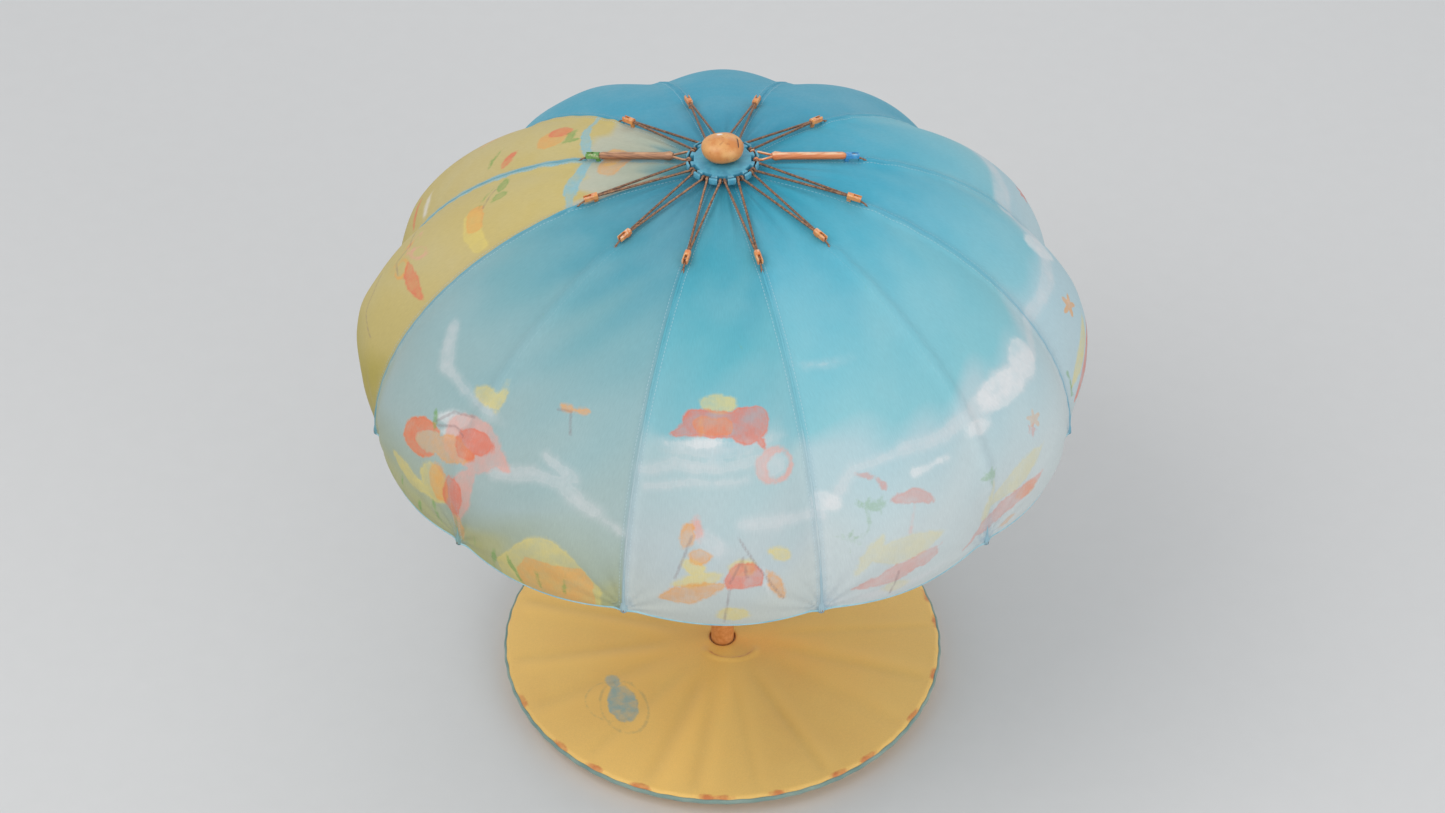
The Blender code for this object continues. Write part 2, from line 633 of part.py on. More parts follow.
def lock_knob_mesh():
    """A clamp screw with a lobed handle that points to the front; origin at the pole's middle."""
    shank_start = POLE_RADIUS + 2 * GAP
    shank_end = SCREW_HANDLE_START + 2 * MM
    outline = [(0, shank_start), (SCREW_RADIUS, shank_start), (SCREW_RADIUS, shank_end), (0, shank_end)]
    shank = lathe(outline, 12, "shank")
    bm = bmesh.new()
    steps = SCREW_LOBES * 6
    lobed = []
    for k in range(steps):
        turn = TURN * k / steps
        radius = SCREW_HANDLE_RADIUS * (1 + SCREW_LOBE_DEPTH * math.cos(SCREW_LOBES * turn))
        lobed.append(bm.verts.new((radius * math.cos(turn), radius * math.sin(turn), SCREW_HANDLE_START)))
    face = bm.faces.new(lobed)
    grown = bmesh.ops.extrude_face_region(bm, geom=[face])
    lifted = [v for v in grown["geom"] if isinstance(v, bmesh.types.BMVert)]
    bmesh.ops.translate(bm, verts=lifted, vec=(0, 0, SCREW_HANDLE_LENGTH))
    handle = to_mesh(bm, "handle")
    mesh = combine(handle, [shank], "UNION")
    mesh.transform(Matrix.Rotation(math.pi / 2, 4, "X"))
    return mesh


def build_rib_units():
    """Twelve folding units: inner rib, clip, outer rib and stretcher."""
    wire = material("bronze_wire", (0.16, 0.09, 0.05), 0.4, 0.8)
    stretcher_wire = material("stretcher_wire", (0.22, 0.13, 0.08), 0.38, 0.8)
    fibre = material("rib_fibre", (0.20, 0.42, 0.50), 0.5)
    orange_clip = material("orange_clip", (0.70, 0.26, 0.08), 0.45)
    orange_rod = material("orange_rod", (0.72, 0.25, 0.09), 0.45)
    brown_rod = material("brown_rod", (0.32, 0.17, 0.11), 0.5)
    blue_clip = material("blue_clip", (0.10, 0.33, 0.55), 0.45)
    green_clip = material("green_clip", (0.12, 0.42, 0.10), 0.45)
    rod_colours = [orange_rod, brown_rod]
    end_colours = [blue_clip, green_clip]
    thin_rib = thin_rib_mesh()
    thick_rib = thick_rib_mesh()
    clip = joint_clip_mesh()
    outer = outer_rib_mesh()
    stretcher = stretcher_mesh()
    lug = ELBOW_PIVOT + lug_pivot()

    for number in range(1, RIB_COUNT + 1):
        turn = rib_turn(number)
        rib_mesh, rib_colour, clip_mesh, clip_colour = thin_rib, wire, clip, orange_clip
        if number in THICK_RIBS:
            side = THICK_RIBS.index(number)
            rib_mesh, rib_colour = thick_rib.copy(), rod_colours[side]
            clip_mesh, clip_colour = clip.copy(), end_colours[side]
            rib_mesh.materials.clear()
            clip_mesh.materials.clear()
        place(f"inner_rib_{number:02d}", rib_mesh, rib_colour, rib_point(number, CROWN_PIVOT), turn)
        place(f"joint_clip_{number:02d}", clip_mesh, clip_colour, rib_point(number, ELBOW_PIVOT), turn)
        place(f"outer_rib_{number:02d}", outer, fibre, rib_point(number, ELBOW_PIVOT), turn)
        place(f"stretcher_{number:02d}", stretcher, stretcher_wire, rib_point(number, lug), turn)


def build_pole_and_hubs():
    place("pole", pole_mesh(), material("white_tube", (0.75, 0.76, 0.76), 0.35, 0.4))
    place("canopy_washer", canopy_washer_mesh(), material("washer_nylon", (0.8, 0.8, 0.78), 0.5))
    place("canopy", canopy_mesh(), material("canopy_fabric", (0.11, 0.39, 0.5), 0.85))
    place("crown", crown_mesh(), material("crown_plastic", (0.08, 0.27, 0.36), 0.5))
    place("crown_tie_wire", crown_tie_wire_mesh(), material("tie_steel", (0.5, 0.5, 0.5), 0.3, 1.0))
    place("top_knob", top_knob_mesh(), material("knob_plastic", (0.64, 0.30, 0.11), 0.35))
    place("runner", runner_mesh(), material("runner_plastic", (0.66, 0.28, 0.11), 0.5))
    place("friction_ring", friction_ring_mesh(), material("ring_rubber", (0.03, 0.03, 0.03), 0.8))


def build_base():
    place("base_weight", base_weight_mesh(), material("cast_weight", (0.35, 0.35, 0.35), 0.9))
    place("base_cover", base_cover_mesh(), material("orange_fabric", (0.61, 0.35, 0.09), 0.85))
    place("pole_socket", pole_socket_mesh(), material("socket_plastic", (0.7, 0.7, 0.68), 0.5))
    handle = material("lock_plastic", (0.68, 0.27, 0.09), 0.45)
    place("lock_knob", lock_knob_mesh(), handle, (0, 0, SCREW_HEIGHT))


clear_scene()
build_base()
build_pole_and_hubs()
build_rib_units()
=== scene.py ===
import math

import bpy
import numpy as np
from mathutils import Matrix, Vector


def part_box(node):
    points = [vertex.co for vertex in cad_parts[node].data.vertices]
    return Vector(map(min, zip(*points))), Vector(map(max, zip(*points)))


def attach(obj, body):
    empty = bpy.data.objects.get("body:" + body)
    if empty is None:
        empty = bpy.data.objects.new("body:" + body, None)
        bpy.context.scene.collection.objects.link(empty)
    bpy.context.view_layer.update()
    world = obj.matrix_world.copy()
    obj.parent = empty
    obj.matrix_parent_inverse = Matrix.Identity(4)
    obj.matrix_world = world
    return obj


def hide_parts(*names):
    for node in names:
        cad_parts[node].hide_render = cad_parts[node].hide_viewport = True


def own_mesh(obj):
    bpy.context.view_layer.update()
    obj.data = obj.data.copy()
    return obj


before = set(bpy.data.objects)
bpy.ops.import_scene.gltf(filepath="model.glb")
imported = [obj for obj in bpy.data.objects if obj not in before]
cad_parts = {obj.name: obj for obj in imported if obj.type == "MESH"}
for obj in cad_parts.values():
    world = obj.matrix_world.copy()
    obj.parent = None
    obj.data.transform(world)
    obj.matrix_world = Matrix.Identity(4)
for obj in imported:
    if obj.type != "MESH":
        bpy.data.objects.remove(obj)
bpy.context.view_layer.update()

MM = 0.001
TURN = 2 * math.pi

# The canopy: the same dome as the CAD solid, in metres.
RIB_COUNT = 12
FIRST_RIB_DEG = 15.0
GORE_DEG = 30.0
TIP_RADIUS = 400 * MM
TIP_HEIGHT = 463 * MM
DOME_RISE = 290 * MM
SPREAD_POWER = 2.17
RISE_POWER = 0.532
BULGE_OUT = 41 * MM
BULGE_UP = 9 * MM
HEM_DRAW_IN = 0.9
HEM_SAG = 8 * MM
HUB_HOLE = 11 * MM
DISC_EDGE = 38 * MM
ELBOW_RADIUS = 150 * MM
CLOTH = 0.9 * MM
COLUMNS = 80
INNER_ROWS = 48
OUTER_ROWS = 144
HUB_ROWS = 12
SMOOTH_RIBS = {8: 0.8, 11: 0.8}
OUTER_ROD_LIFT = 3.6 * MM
# How blue the tape over a seam is: most seams, and those that are pale, hidden or a bright ribbon.
SEAM_BLUE = 0.45
SEAM_BLUES = {1: 0.25, 6: 0.85, 8: 0.25, 9: 0.1, 10: 0.1, 11: 0.25}
SEAM_RISE = 4.4 * MM
SEAM_REACH = 8 * MM

# The base disc.
COVER_RADIUS = 269 * MM
COVER_FOOT_RADIUS = 240 * MM
COVER_TOP = 31 * MM
COVER_HOLE = 17 * MM
RIM_ROUND = 6 * MM

# The cloth's fine folds.
WAVE_DEPTH = 1.6 * MM
FAN_WAVES = 15
FAN_DEPTH = 1.5 * MM
FAN_REACH = 75 * MM
PUCKER_PITCH = 23 * MM
PUCKER_DEPTH = 0.45 * MM
PUCKER_REACH = 9 * MM
HUB_PLEATS = 36
HUB_PLEAT_DEPTH = 0.8 * MM
PULL_DEPTH = 0.6 * MM
PULL_REACH = 30 * MM

# The sewn parts.
SLEEVE_HALF_WIDTH = 1.75 * MM
SLEEVE_HALF_HEIGHT = 2.9 * MM
SLEEVE_SINK = 0.9 * MM
POCKET_ABOVE = 12 * MM
POCKET_LENGTH = 16.5 * MM
POCKET_OUT = 3.0 * MM
BINDING_RADIUS = 1.35 * MM

rng = np.random.default_rng(12)


# ---- small tools


def linear(rgb):
    """A linear colour from 0-255 display values."""
    c = np.asarray(rgb, float) / 255
    return np.where(c <= 0.04045, c / 12.92, ((c + 0.055) / 1.055) ** 2.4)


def ease(low, high, x):
    t = np.clip((x - low) / (high - low), 0, 1)
    return t * t * (3 - 2 * t)


def new_object(name, verts, faces, mat, normals=None, smooth=True):
    mesh = bpy.data.meshes.new(name)
    mesh.from_pydata(
        np.asarray(verts).tolist(), [], np.asarray(faces).tolist() if isinstance(faces, np.ndarray) else faces
    )
    mesh.validate()
    mesh.polygons.foreach_set("use_smooth", [smooth] * len(mesh.polygons))
    if normals is not None:
        mesh.normals_split_custom_set_from_vertices(np.asarray(normals).tolist())
    mesh.materials.append(mat)
    obj = bpy.data.objects.new(name, mesh)
    bpy.context.scene.collection.objects.link(obj)
    return obj


def add_floats(mesh, name, values):
    layer = mesh.attributes.new(name, "FLOAT", "POINT")
    layer.data.foreach_set("value", np.asarray(values, np.float32).ravel())


def add_vectors(mesh, name, values):
    layer = mesh.attributes.new(name, "FLOAT_VECTOR", "POINT")
    layer.data.foreach_set("vector", np.asarray(values, np.float32).ravel())


def add_colours(mesh, name, values):
    layer = mesh.attributes.new(name, "FLOAT_COLOR", "POINT")
    rgba = np.ones((len(values), 4), np.float32)
    rgba[:, :3] = values
    layer.data.foreach_set("color", rgba.ravel())


def grid_faces(rows, cols, offset=0, flip=False, closed=False):
    """Quads of a rows x cols vertex grid; closed joins the last column to the first."""
    across = cols if closed else cols - 1
    i, j = np.meshgrid(np.arange(rows - 1), np.arange(across), indexing="ij")
    nxt = (j + 1) % cols
    quads = np.stack([i * cols + j, i * cols + nxt, (i + 1) * cols + nxt, (i + 1) * cols + j], -1)
    quads = quads.reshape(-1, 4) + offset
    return quads[:, ::-1] if flip else quads


def tube(name, path, radii, mat, sides=16, squashed=None, pleats=0, pleat_depth=0.0):
    """A closed tube along a path; squashed is a second set of radii for the up direction."""
    path = np.asarray(path, float)
    radii = np.asarray(radii, float)
    second = radii if squashed is None else np.asarray(squashed, float)
    tangent = np.gradient(path, axis=0)
    tangent /= np.linalg.norm(tangent, axis=1)[:, None]
    side = np.cross(tangent, (0, 0, 1.0))
    weak = np.linalg.norm(side, axis=1) < 1e-6
    side[weak] = (1.0, 0, 0)
    side /= np.linalg.norm(side, axis=1)[:, None]
    up = np.cross(side, tangent)
    angle = np.arange(sides) / sides * TURN
    ripple = 1 + pleat_depth * np.cos(pleats * angle)
    ring = (
        path[:, None]
        + side[:, None] * (np.cos(angle) * ripple)[None, :, None] * radii[:, None, None]
        + up[:, None] * (np.sin(angle) * ripple)[None, :, None] * second[:, None, None]
    )
    rows = len(path)
    verts = np.concatenate([ring.reshape(-1, 3), path[:1], path[-1:]])
    faces = [tuple(int(v) for v in f) for f in grid_faces(rows, sides, closed=True, flip=True)]
    first, last = rows * sides, rows * sides + 1
    for k in range(sides):
        n = (k + 1) % sides
        faces.append((first, n, k))
        faces.append((last, (rows - 1) * sides + k, (rows - 1) * sides + n))
    return new_object(name, verts, faces, mat)


def rib_turn(number):
    return math.radians(FIRST_RIB_DEG + GORE_DEG * (number - 1))


def turned(points, turn):
    """Points of the plane of +X, turned about the pole."""
    p = np.asarray(points, float)
    c, s = math.cos(turn), math.sin(turn)
    return np.stack([p[..., 0] * c - p[..., 1] * s, p[..., 0] * s + p[..., 1] * c, p[..., 2]], -1)


# ---- the cloth's shape


def dome_height(radius):
    spread = np.minimum(radius / TIP_RADIUS, 1.0) ** SPREAD_POWER
    return TIP_HEIGHT + DOME_RISE * (1 - spread) ** RISE_POWER


RADII = TIP_RADIUS * np.sin(np.linspace(0, math.pi / 2, 801)) ** (2 / SPREAD_POWER)
HEIGHTS = dome_height(RADII)
ARC = np.concatenate([[0], np.cumsum(np.hypot(np.diff(RADII), np.diff(HEIGHTS)))])
ARC_LENGTH = ARC[-1]


def share_of(radius):
    """How far along the seam, from 0 at the hub to 1 at the hem, a radius is."""
    return float(np.interp(radius, RADII, ARC) / ARC_LENGTH)


def radius_of(share):
    return np.interp(np.asarray(share) * ARC_LENGTH, ARC, RADII)


def gore_fraction(turn):
    return ((np.degrees(turn) - FIRST_RIB_DEG) / GORE_DEG) % 1.0


def gore_index(turn):
    return np.floor((np.degrees(turn) - FIRST_RIB_DEG) / GORE_DEG).astype(int) % RIB_COUNT


FILL = np.array([SMOOTH_RIBS.get(k + 1, 0.0) for k in range(RIB_COUNT)])


def seam_fill(turn):
    """How far a gore's bulge runs on across a seam that barely shows."""
    g = gore_fraction(turn)
    k = gore_index(turn)
    return FILL[k] * np.cos(g * math.pi / 2) ** 2 + FILL[(k + 1) % RIB_COUNT] * np.sin(g * math.pi / 2) ** 2


def pillow(turn, share):
    p = np.sin(math.pi * gore_fraction(turn)) ** 0.9
    hold = 1 - ease(0.80, 1.0, share)
    return 1 - (1 - p) * (1 - seam_fill(turn) * hold)


WAVES = [
    (
        int(rng.integers(3, 17)),
        float(rng.uniform(2, 9)),
        float(rng.uniform(0, TURN)),
        float(rng.uniform(0.5, 1)),
    )
    for _ in range(9)
]


def undulation(turn, share):
    total = 0
    for around, along, phase, weight in WAVES:
        total = total + weight * np.sin(around * turn + along * math.pi * share + phase)
    return total / 3


def creases(turn, share, radius):
    """Fine folds in metres: a fan from each tip, puckers by the seams and pleats round the hub."""
    g = gore_fraction(turn)
    arc = (1 - share) * ARC_LENGTH
    half = math.radians(GORE_DEG) * radius
    left = g * half
    right = (1 - g) * half
    out = 0.0
    for side, other in ((left, 1.0), (right, -1.0)):
        distance = np.hypot(side, arc)
        angle = np.arctan2(arc, side + 1e-9)
        fan = np.sin(angle * FAN_WAVES + 1.3 * other + 2 * np.sin(3 * turn)) * np.exp(-distance / FAN_REACH)
        out = out + FAN_DEPTH * fan * ease(0, 12 * MM, side)
        pucker = np.sin(share * ARC_LENGTH / PUCKER_PITCH * TURN + 5 * np.sin(turn * 2 + share * 9))
        pucker = pucker * np.exp(-side / PUCKER_REACH) * ease(0, 3 * MM, side) * ease(0.12, 0.3, share)
        out = out + PUCKER_DEPTH * pucker
    hub = np.exp(-((share - 0.13) / 0.11) ** 2)
    out = out + HUB_PLEAT_DEPTH * hub * np.sin(HUB_PLEATS * turn + 2 * np.sin(5 * turn)) * ease(
        0.03, 0.1, share
    )
    pull = np.exp(-((share - 0.32) / 0.10) ** 2) * np.exp(-np.minimum(left, right) / PULL_REACH)
    return out + PULL_DEPTH * pull * np.sin(share * 70 + 4 * np.cos(turn * 6))


def seam_rise(turn, share, radius):
    """The cloth lies over the rod in each seam, from the clip to the hem."""
    g = gore_fraction(turn)
    near = np.minimum(g, 1 - g) * math.radians(GORE_DEG) * radius
    start = share_of(ELBOW_RADIUS)
    return SEAM_RISE * np.exp(-((near / SEAM_REACH) ** 2)) * ease(start, start + 0.04, share)


def cloth_point(turn, share):
    radius = radius_of(share)
    p = pillow(turn, share)
    reach = (radius / TIP_RADIUS) ** 2
    depth = 1 - (dome_height(radius) - TIP_HEIGHT) / DOME_RISE
    step = 0.5 * MM
    inner = np.minimum(radius, TIP_RADIUS - 2 * step)
    slope = (dome_height(inner + step) - dome_height(inner - step)) / (2 * step)
    size = np.hypot(slope, 1)
    normal_out, normal_up = -slope / size, 1 / size
    ease_hem = 1 - 0.6 * ease(0.93, 1.0, share)
    waves = WAVE_DEPTH * undulation(turn, share) * p * reach
    lift = (waves + creases(turn, share, radius)) * ease_hem + seam_rise(turn, share, radius)
    steepness = np.arcsin(np.minimum(radius / TIP_RADIUS, 1) ** (SPREAD_POWER / 2)) * 2 / math.pi
    draw_in = 1 - HEM_DRAW_IN * steepness**6
    out = radius + p * reach * draw_in * BULGE_OUT + normal_out * lift
    up = dome_height(radius) + p * (reach * (1 - depth) * BULGE_UP - depth**6 * HEM_SAG) + normal_up * lift
    return np.stack([out * np.cos(turn), out * np.sin(turn), up], -1)


def cloth_normal(turn, share):
    d = 0.0015
    across = cloth_point(turn + d, share) - cloth_point(turn - d, share)
    low = np.clip(share - d, 0.0, 1.0)
    high = np.clip(share + d, 0.0, 1.0)
    along = cloth_point(turn, high) - cloth_point(turn, low)
    n = np.cross(along, across)
    return n / np.linalg.norm(n, axis=-1)[..., None]


# ---- the cloth's print

# Display colours along each kind of gore, from the hub (0) to the hem (1). They hold painted light and shade
# along with the print's own colours.
SKY = [(0, (56, 142, 171)), (0.3, (74, 161, 188)), (0.6, (89, 167, 190)), (1, (101, 173, 194))]
SHORE = [
    (0, (52, 151, 177)),
    (0.15, (59, 159, 184)),
    (0.3, (90, 178, 200)),
    (0.45, (117, 189, 204)),
    (0.62, (135, 195, 205)),
    (0.675, (173, 202, 209)),
    (0.85, (197, 208, 209)),
    (1, (201, 208, 207)),
]
FRONT = [
    (0, (55, 147, 170)),
    (0.15, (65, 158, 180)),
    (0.3, (77, 166, 185)),
    (0.45, (102, 179, 193)),
    (0.60, (132, 187, 197)),
    (0.65, (169, 197, 201)),
    (0.84, (187, 199, 201)),
    (1, (201, 205, 197)),
]
HAZE = [
    (0, (53, 135, 160)),
    (0.15, (65, 145, 168)),
    (0.3, (83, 158, 176)),
    (0.45, (120, 172, 181)),
    (0.6, (148, 181, 185)),
    (0.8, (164, 183, 181)),
    (0.90, (165, 176, 156)),
    (0.95, (177, 178, 133)),
    (1, (175, 174, 120)),
]
EVENING = [
    (0, (54, 151, 179)),
    (0.3, (72, 170, 196)),
    (0.5, (115, 187, 204)),
    (0.62, (135, 193, 205)),
    (0.675, (173, 202, 211)),
    (0.9, (187, 206, 211)),
    (1, (195, 202, 199)),
]
SUNNY = [
    (0, (68, 139, 160)),
    (0.10, (94, 153, 162)),
    (0.16, (172, 180, 162)),
    (0.275, (189, 189, 167)),
    (0.30, (203, 183, 112)),
    (0.6, (201, 183, 124)),
    (0.8, (197, 180, 116)),
    # painted shade: the sunny gores darken from here to the hem
    (0.9, (181, 166, 91)),
    (1, (168, 153, 78)),
]
# Gore k lies between ribs k + 1 and k + 2.
GORE_RAMPS = (EVENING, SKY, SKY, SKY, SUNNY, SUNNY, HAZE, HAZE, FRONT, SHORE, SHORE, EVENING)


def ground(turn, share):
    """The cloth's background colour, linear, holding the ramps' painted light and shade."""
    k = gore_index(turn)
    wobble = 0.025 * undulation(turn * 2, share * 1.5)
    where = np.clip(share + wobble, 0, 1)
    colour = np.zeros(np.shape(turn) + (3,))
    for index, ramp in enumerate(GORE_RAMPS):
        inside = k == index
        if not np.any(inside):
            continue
        stops = [s for s, _ in ramp]
        for c in range(3):
            channel = [float(linear(rgb)[c]) for _, rgb in ramp]
            colour[inside, c] = np.interp(where[inside], stops, channel)
    return colour


def spot(turn, share, a, s):
    """Local millimetres about a place on the cloth: x to the right seen from outside, y towards the hem.
    a is degrees from the front gore's middle."""
    apart = (np.degrees(turn) + 90 - a + 180) % 360 - 180
    x = np.radians(apart) * radius_of(s) / MM
    y = (share - s) * ARC_LENGTH / MM
    return x, y


def spin(x, y, degrees):
    c, s = math.cos(math.radians(degrees)), math.sin(math.radians(degrees))
    return x * c + y * s, -x * s + y * c


def oval(x, y, rx, ry, degrees=0.0):
    u, v = spin(x, y, degrees)
    return (np.hypot(u / rx, v / ry) - 1) * min(rx, ry)


def leaf(x, y, length, width, degrees=0.0):
    u, v = spin(x, y, degrees)
    return (np.abs(v) - width / 2 * (1 - np.clip((2 * u / length) ** 2, 0, 4))) * 0.8


def bar(x, y, x1, y1, x2, y2, width):
    dx, dy = x2 - x1, y2 - y1
    t = np.clip(((x - x1) * dx + (y - y1) * dy) / (dx * dx + dy * dy), 0, 1)
    return np.hypot(x - x1 - t * dx, y - y1 - t * dy) - width / 2


def both(a, b):
    return np.maximum(a, b)


def star(x, y, size, degrees=0.0):
    u, v = spin(x, y, degrees)
    return np.hypot(u, v) - size * (0.68 + 0.32 * np.cos(5 * np.arctan2(u, -v)))


def puffs(x, y, width, height, count):
    """A cloud: a row of overlapping rounds, large in the middle."""
    best = 1e3
    for i in range(count):
        t = (i + 0.5) / count * 2 - 1
        size = height * (0.55 + 0.45 * math.cos(t * 1.4)) * (0.8 + 0.2 * math.sin(7.3 * i))
        best = np.minimum(best, oval(x - t * width / 2, y + 0.3 * size * math.sin(3.1 * i), size * 1.3, size))
    return best


def parasol(x, y, size, lean):
    """A beach parasol's shade and its pole."""
    u, v = spin(x, y, lean)
    shade = both(oval(u, v, size, size * 0.62), v - size * 0.02)
    return shade, bar(u, v, 0, 0, 0, size * 1.25, size * 0.07)


def palm(x, y, size):
    best = bar(x, y, 0, 0, size * 0.14, size * 1.2, size * 0.09)
    for degrees in (-160, -125, -60, -20, 20, 200):
        u, v = spin(x, y, degrees)
        best = np.minimum(best, leaf(u - size * 0.42, v, size * 0.9, size * 0.2))
    return best


CLOUD_INKS = ("mist", "azure", "white")
INKS = ("mist", "azure", "white", "yellow", "pink", "orange", "coral", "green", "line")
NO_INK = 30.0


class Print:
    """The inks on one mesh, as signed distances in millimetres: negative inside a painted shape.
    Places are (degrees from the front, share)."""

    def __init__(self, turn, share):
        self.turn = turn
        self.share = share
        self.field = {ink: np.full(np.shape(turn), NO_INK) for ink in INKS}

    def at(self, a, s):
        return spot(self.turn, self.share, a, s)

    def between(self, start, end):
        """The middle of two places, and the way from one to the other in millimetres."""
        middle = ((start[0] + end[0]) / 2, (start[1] + end[1]) / 2)
        dx = math.radians(end[0] - start[0]) * float(radius_of(middle[1])) / MM
        dy = (end[1] - start[1]) * ARC_LENGTH / MM
        return middle, dx, dy

    def paint(self, ink, distance):
        self.field[ink] = np.minimum(self.field[ink], distance)

    def blot(self, ink, a, s, rx, ry, degrees=0.0):
        self.paint(ink, oval(*self.at(a, s), rx, ry, degrees))

    def lens(self, ink, start, end, width):
        """A pointed lens between two places."""
        middle, dx, dy = self.between(start, end)
        self.paint(ink, leaf(*self.at(*middle), math.hypot(dx, dy), width, math.degrees(math.atan2(dy, dx))))

    def stripe(self, ink, places, width):
        """A soft-ended stripe through several places; width is one number or one per stretch."""
        widths = width if isinstance(width, tuple) else (width,) * (len(places) - 1)
        for start, end, w in zip(places, places[1:], widths):
            middle, dx, dy = self.between(start, end)
            self.paint(ink, bar(*self.at(*middle), -dx / 2, -dy / 2, dx / 2, dy / 2, w))

    def line(self, places, width=1.0):
        self.stripe("line", places, width)


def dune_shape(x, y, width, height):
    """A rounded hill: its crest at y = -height, its foot at y = 0."""
    across = np.clip(np.abs(x) / (width / 2), 0, 1.5)
    crest = height * np.cos(across * math.pi / 2)
    return both(-(crest + y) * 0.75, np.abs(x) - width / 2)


def paint_middle(art):
    """The middle gore: a sunset bank over cloud, and dunes with a parasol at the hem."""
    x, y = art.at(0, 0.588)
    art.paint("coral", both(oval(x - 25, y, 21, 20), -(y + 17)))
    art.paint("coral", bar(x, y, -26, -4, 24, 0, 26))
    art.paint("coral", leaf(x + 34, y - 7, 42, 13, -24))
    art.paint("coral", leaf(x - 34, y - 16, 26, 9, 62))
    art.paint("orange", bar(x, y, -20, -2, 2, 0, 17))
    art.paint("yellow", puffs(x + 6, y + 23, 28, 10, 3))
    art.paint("yellow", bar(x, y, -21, -8, -20, 8, 2.4))
    art.paint("white", oval(x + 16, y - 17, 24, 5, -10))
    art.paint("mist", oval(x + 4, y - 22, 50, 9, -4))
    art.stripe("mist", ((-14, 0.70), (-8, 0.665), (0, 0.66), (7, 0.65)), (9, 12, 9))
    art.stripe("mist", ((-13, 0.725), (-5, 0.69), (4, 0.685)), 6)
    art.stripe("mist", ((3, 0.765), (9, 0.775), (16, 0.79)), (12, 9))
    x, y = art.at(9, 0.67)
    art.paint("pink", both(oval(x, y, 20, 19, 30), -oval(x - 3, y - 2, 12, 12)))
    art.paint("mist", oval(x + 3, y + 3, 15, 13))
    art.blot("orange", -5.2, 0.79, 7, 14, 14)
    art.blot("orange", -3.4, 0.83, 11, 9, -20)
    art.blot("yellow", -4.2, 0.85, 12, 8, 10)
    art.blot("pink", -3.8, 0.775, 5, 11, -8)
    art.lens("orange", (-9.5, 0.94), (0.5, 0.885), 26)
    art.lens("yellow", (-7.5, 0.90), (0.5, 0.86), 17)
    x, y = art.at(3.2, 0.875)
    art.paint("coral", both(oval(x, y, 20, 19), y - 11))
    art.paint("pink", both(oval(x + 8, y + 1, 9, 16, 8), y - 9))
    art.paint("yellow", both(oval(x + 2, y + 12, 15, 10), y + 4))
    art.line(((3.0, 0.83), (3.6, 0.875)), 0.7)
    art.line(((3.0, 0.83), (1.0, 0.885)), 0.6)
    art.line(((2.4, 0.79), (9.0, 0.94)), 0.8)
    art.lens("white", (5.8, 0.855), (6.9, 0.915), 5)
    art.lens("orange", (6.2, 0.86), (9.4, 0.945), 13)
    art.lens("yellow", (6.6, 0.82), (10.4, 0.855), 12)
    art.blot("yellow", 1.6, 0.965, 17, 11)
    art.blot("mist", -2, 0.80, 16, 9, 30)
    art.line(((1.0, 0.90), (0.2, 0.99)), 0.5)
    art.line(((-7.0, 0.885), (-5.6, 0.83), (-4.6, 0.79)), 0.6)


def paint_shore(art):
    """The shore to the right: a bank of cloud, parasols, palms and bright swooshes of sand."""
    bank = ((17, 0.77), (22, 0.70), (31, 0.685), (39, 0.70), (47, 0.695), (55, 0.685), (62, 0.70), (74, 0.70))
    art.stripe("mist", bank, (9, 8, 12, 16, 24, 30, 16))
    art.blot("white", 16.8, 0.765, 15, 11)
    art.blot("white", 55.0, 0.695, 40, 16, 4)
    art.blot("white", 63.0, 0.685, 22, 21)
    art.blot("white", 46.0, 0.725, 17, 8, 8)
    art.stripe("white", ((31.5, 0.735), (38.5, 0.74)), 6)
    art.blot("mist", 22.5, 0.50, 15, 3.5)
    shade, pole = parasol(*art.at(30.2, 0.79), 24, 20)
    art.paint("coral", both(shade, -oval(*art.at(30.5, 0.815), 18, 9)))
    art.paint("pink", pole)
    art.paint("coral", leaf(*art.at(23.5, 0.715), 22, 7, 18))
    art.paint("coral", leaf(*art.at(25.8, 0.735), 16, 6, 66))
    for a, t, size in ((22.5, 0.775, 13), (19.2, 0.84, 14), (24.6, 0.775, 9)):
        art.paint("green", palm(*art.at(a, t), size))
    art.lens("yellow", (20.5, 0.88), (34.5, 0.875), 30)
    art.lens("yellow", (20.0, 0.92), (24.5, 0.835), 15)
    art.lens("coral", (19.5, 0.955), (34.5, 0.895), 21)
    art.blot("coral", 31.0, 0.915, 19, 9, -14)
    art.blot("yellow", 26.5, 0.965, 15, 8)
    art.line(((26.6, 0.925), (25.8, 0.985)), 0.6)
    art.lens("mist", (18.0, 0.985), (33.0, 0.96), 10)
    art.paint("orange", star(*art.at(57.5, 0.785), 11, 20))
    art.paint("coral", star(*art.at(56.2, 0.80), 8, 50))
    art.lens("yellow", (44.0, 0.895), (57.5, 0.845), 26)
    art.lens("yellow", (43.5, 0.945), (45.5, 0.84), 9)
    art.lens("coral", (39.5, 0.965), (57.5, 0.895), 24)
    art.blot("orange", 53.0, 0.915, 17, 9, -18)
    art.blot("orange", 49.5, 0.975, 13, 6, -20)
    art.paint("green", palm(*art.at(44.8, 0.825), 13))


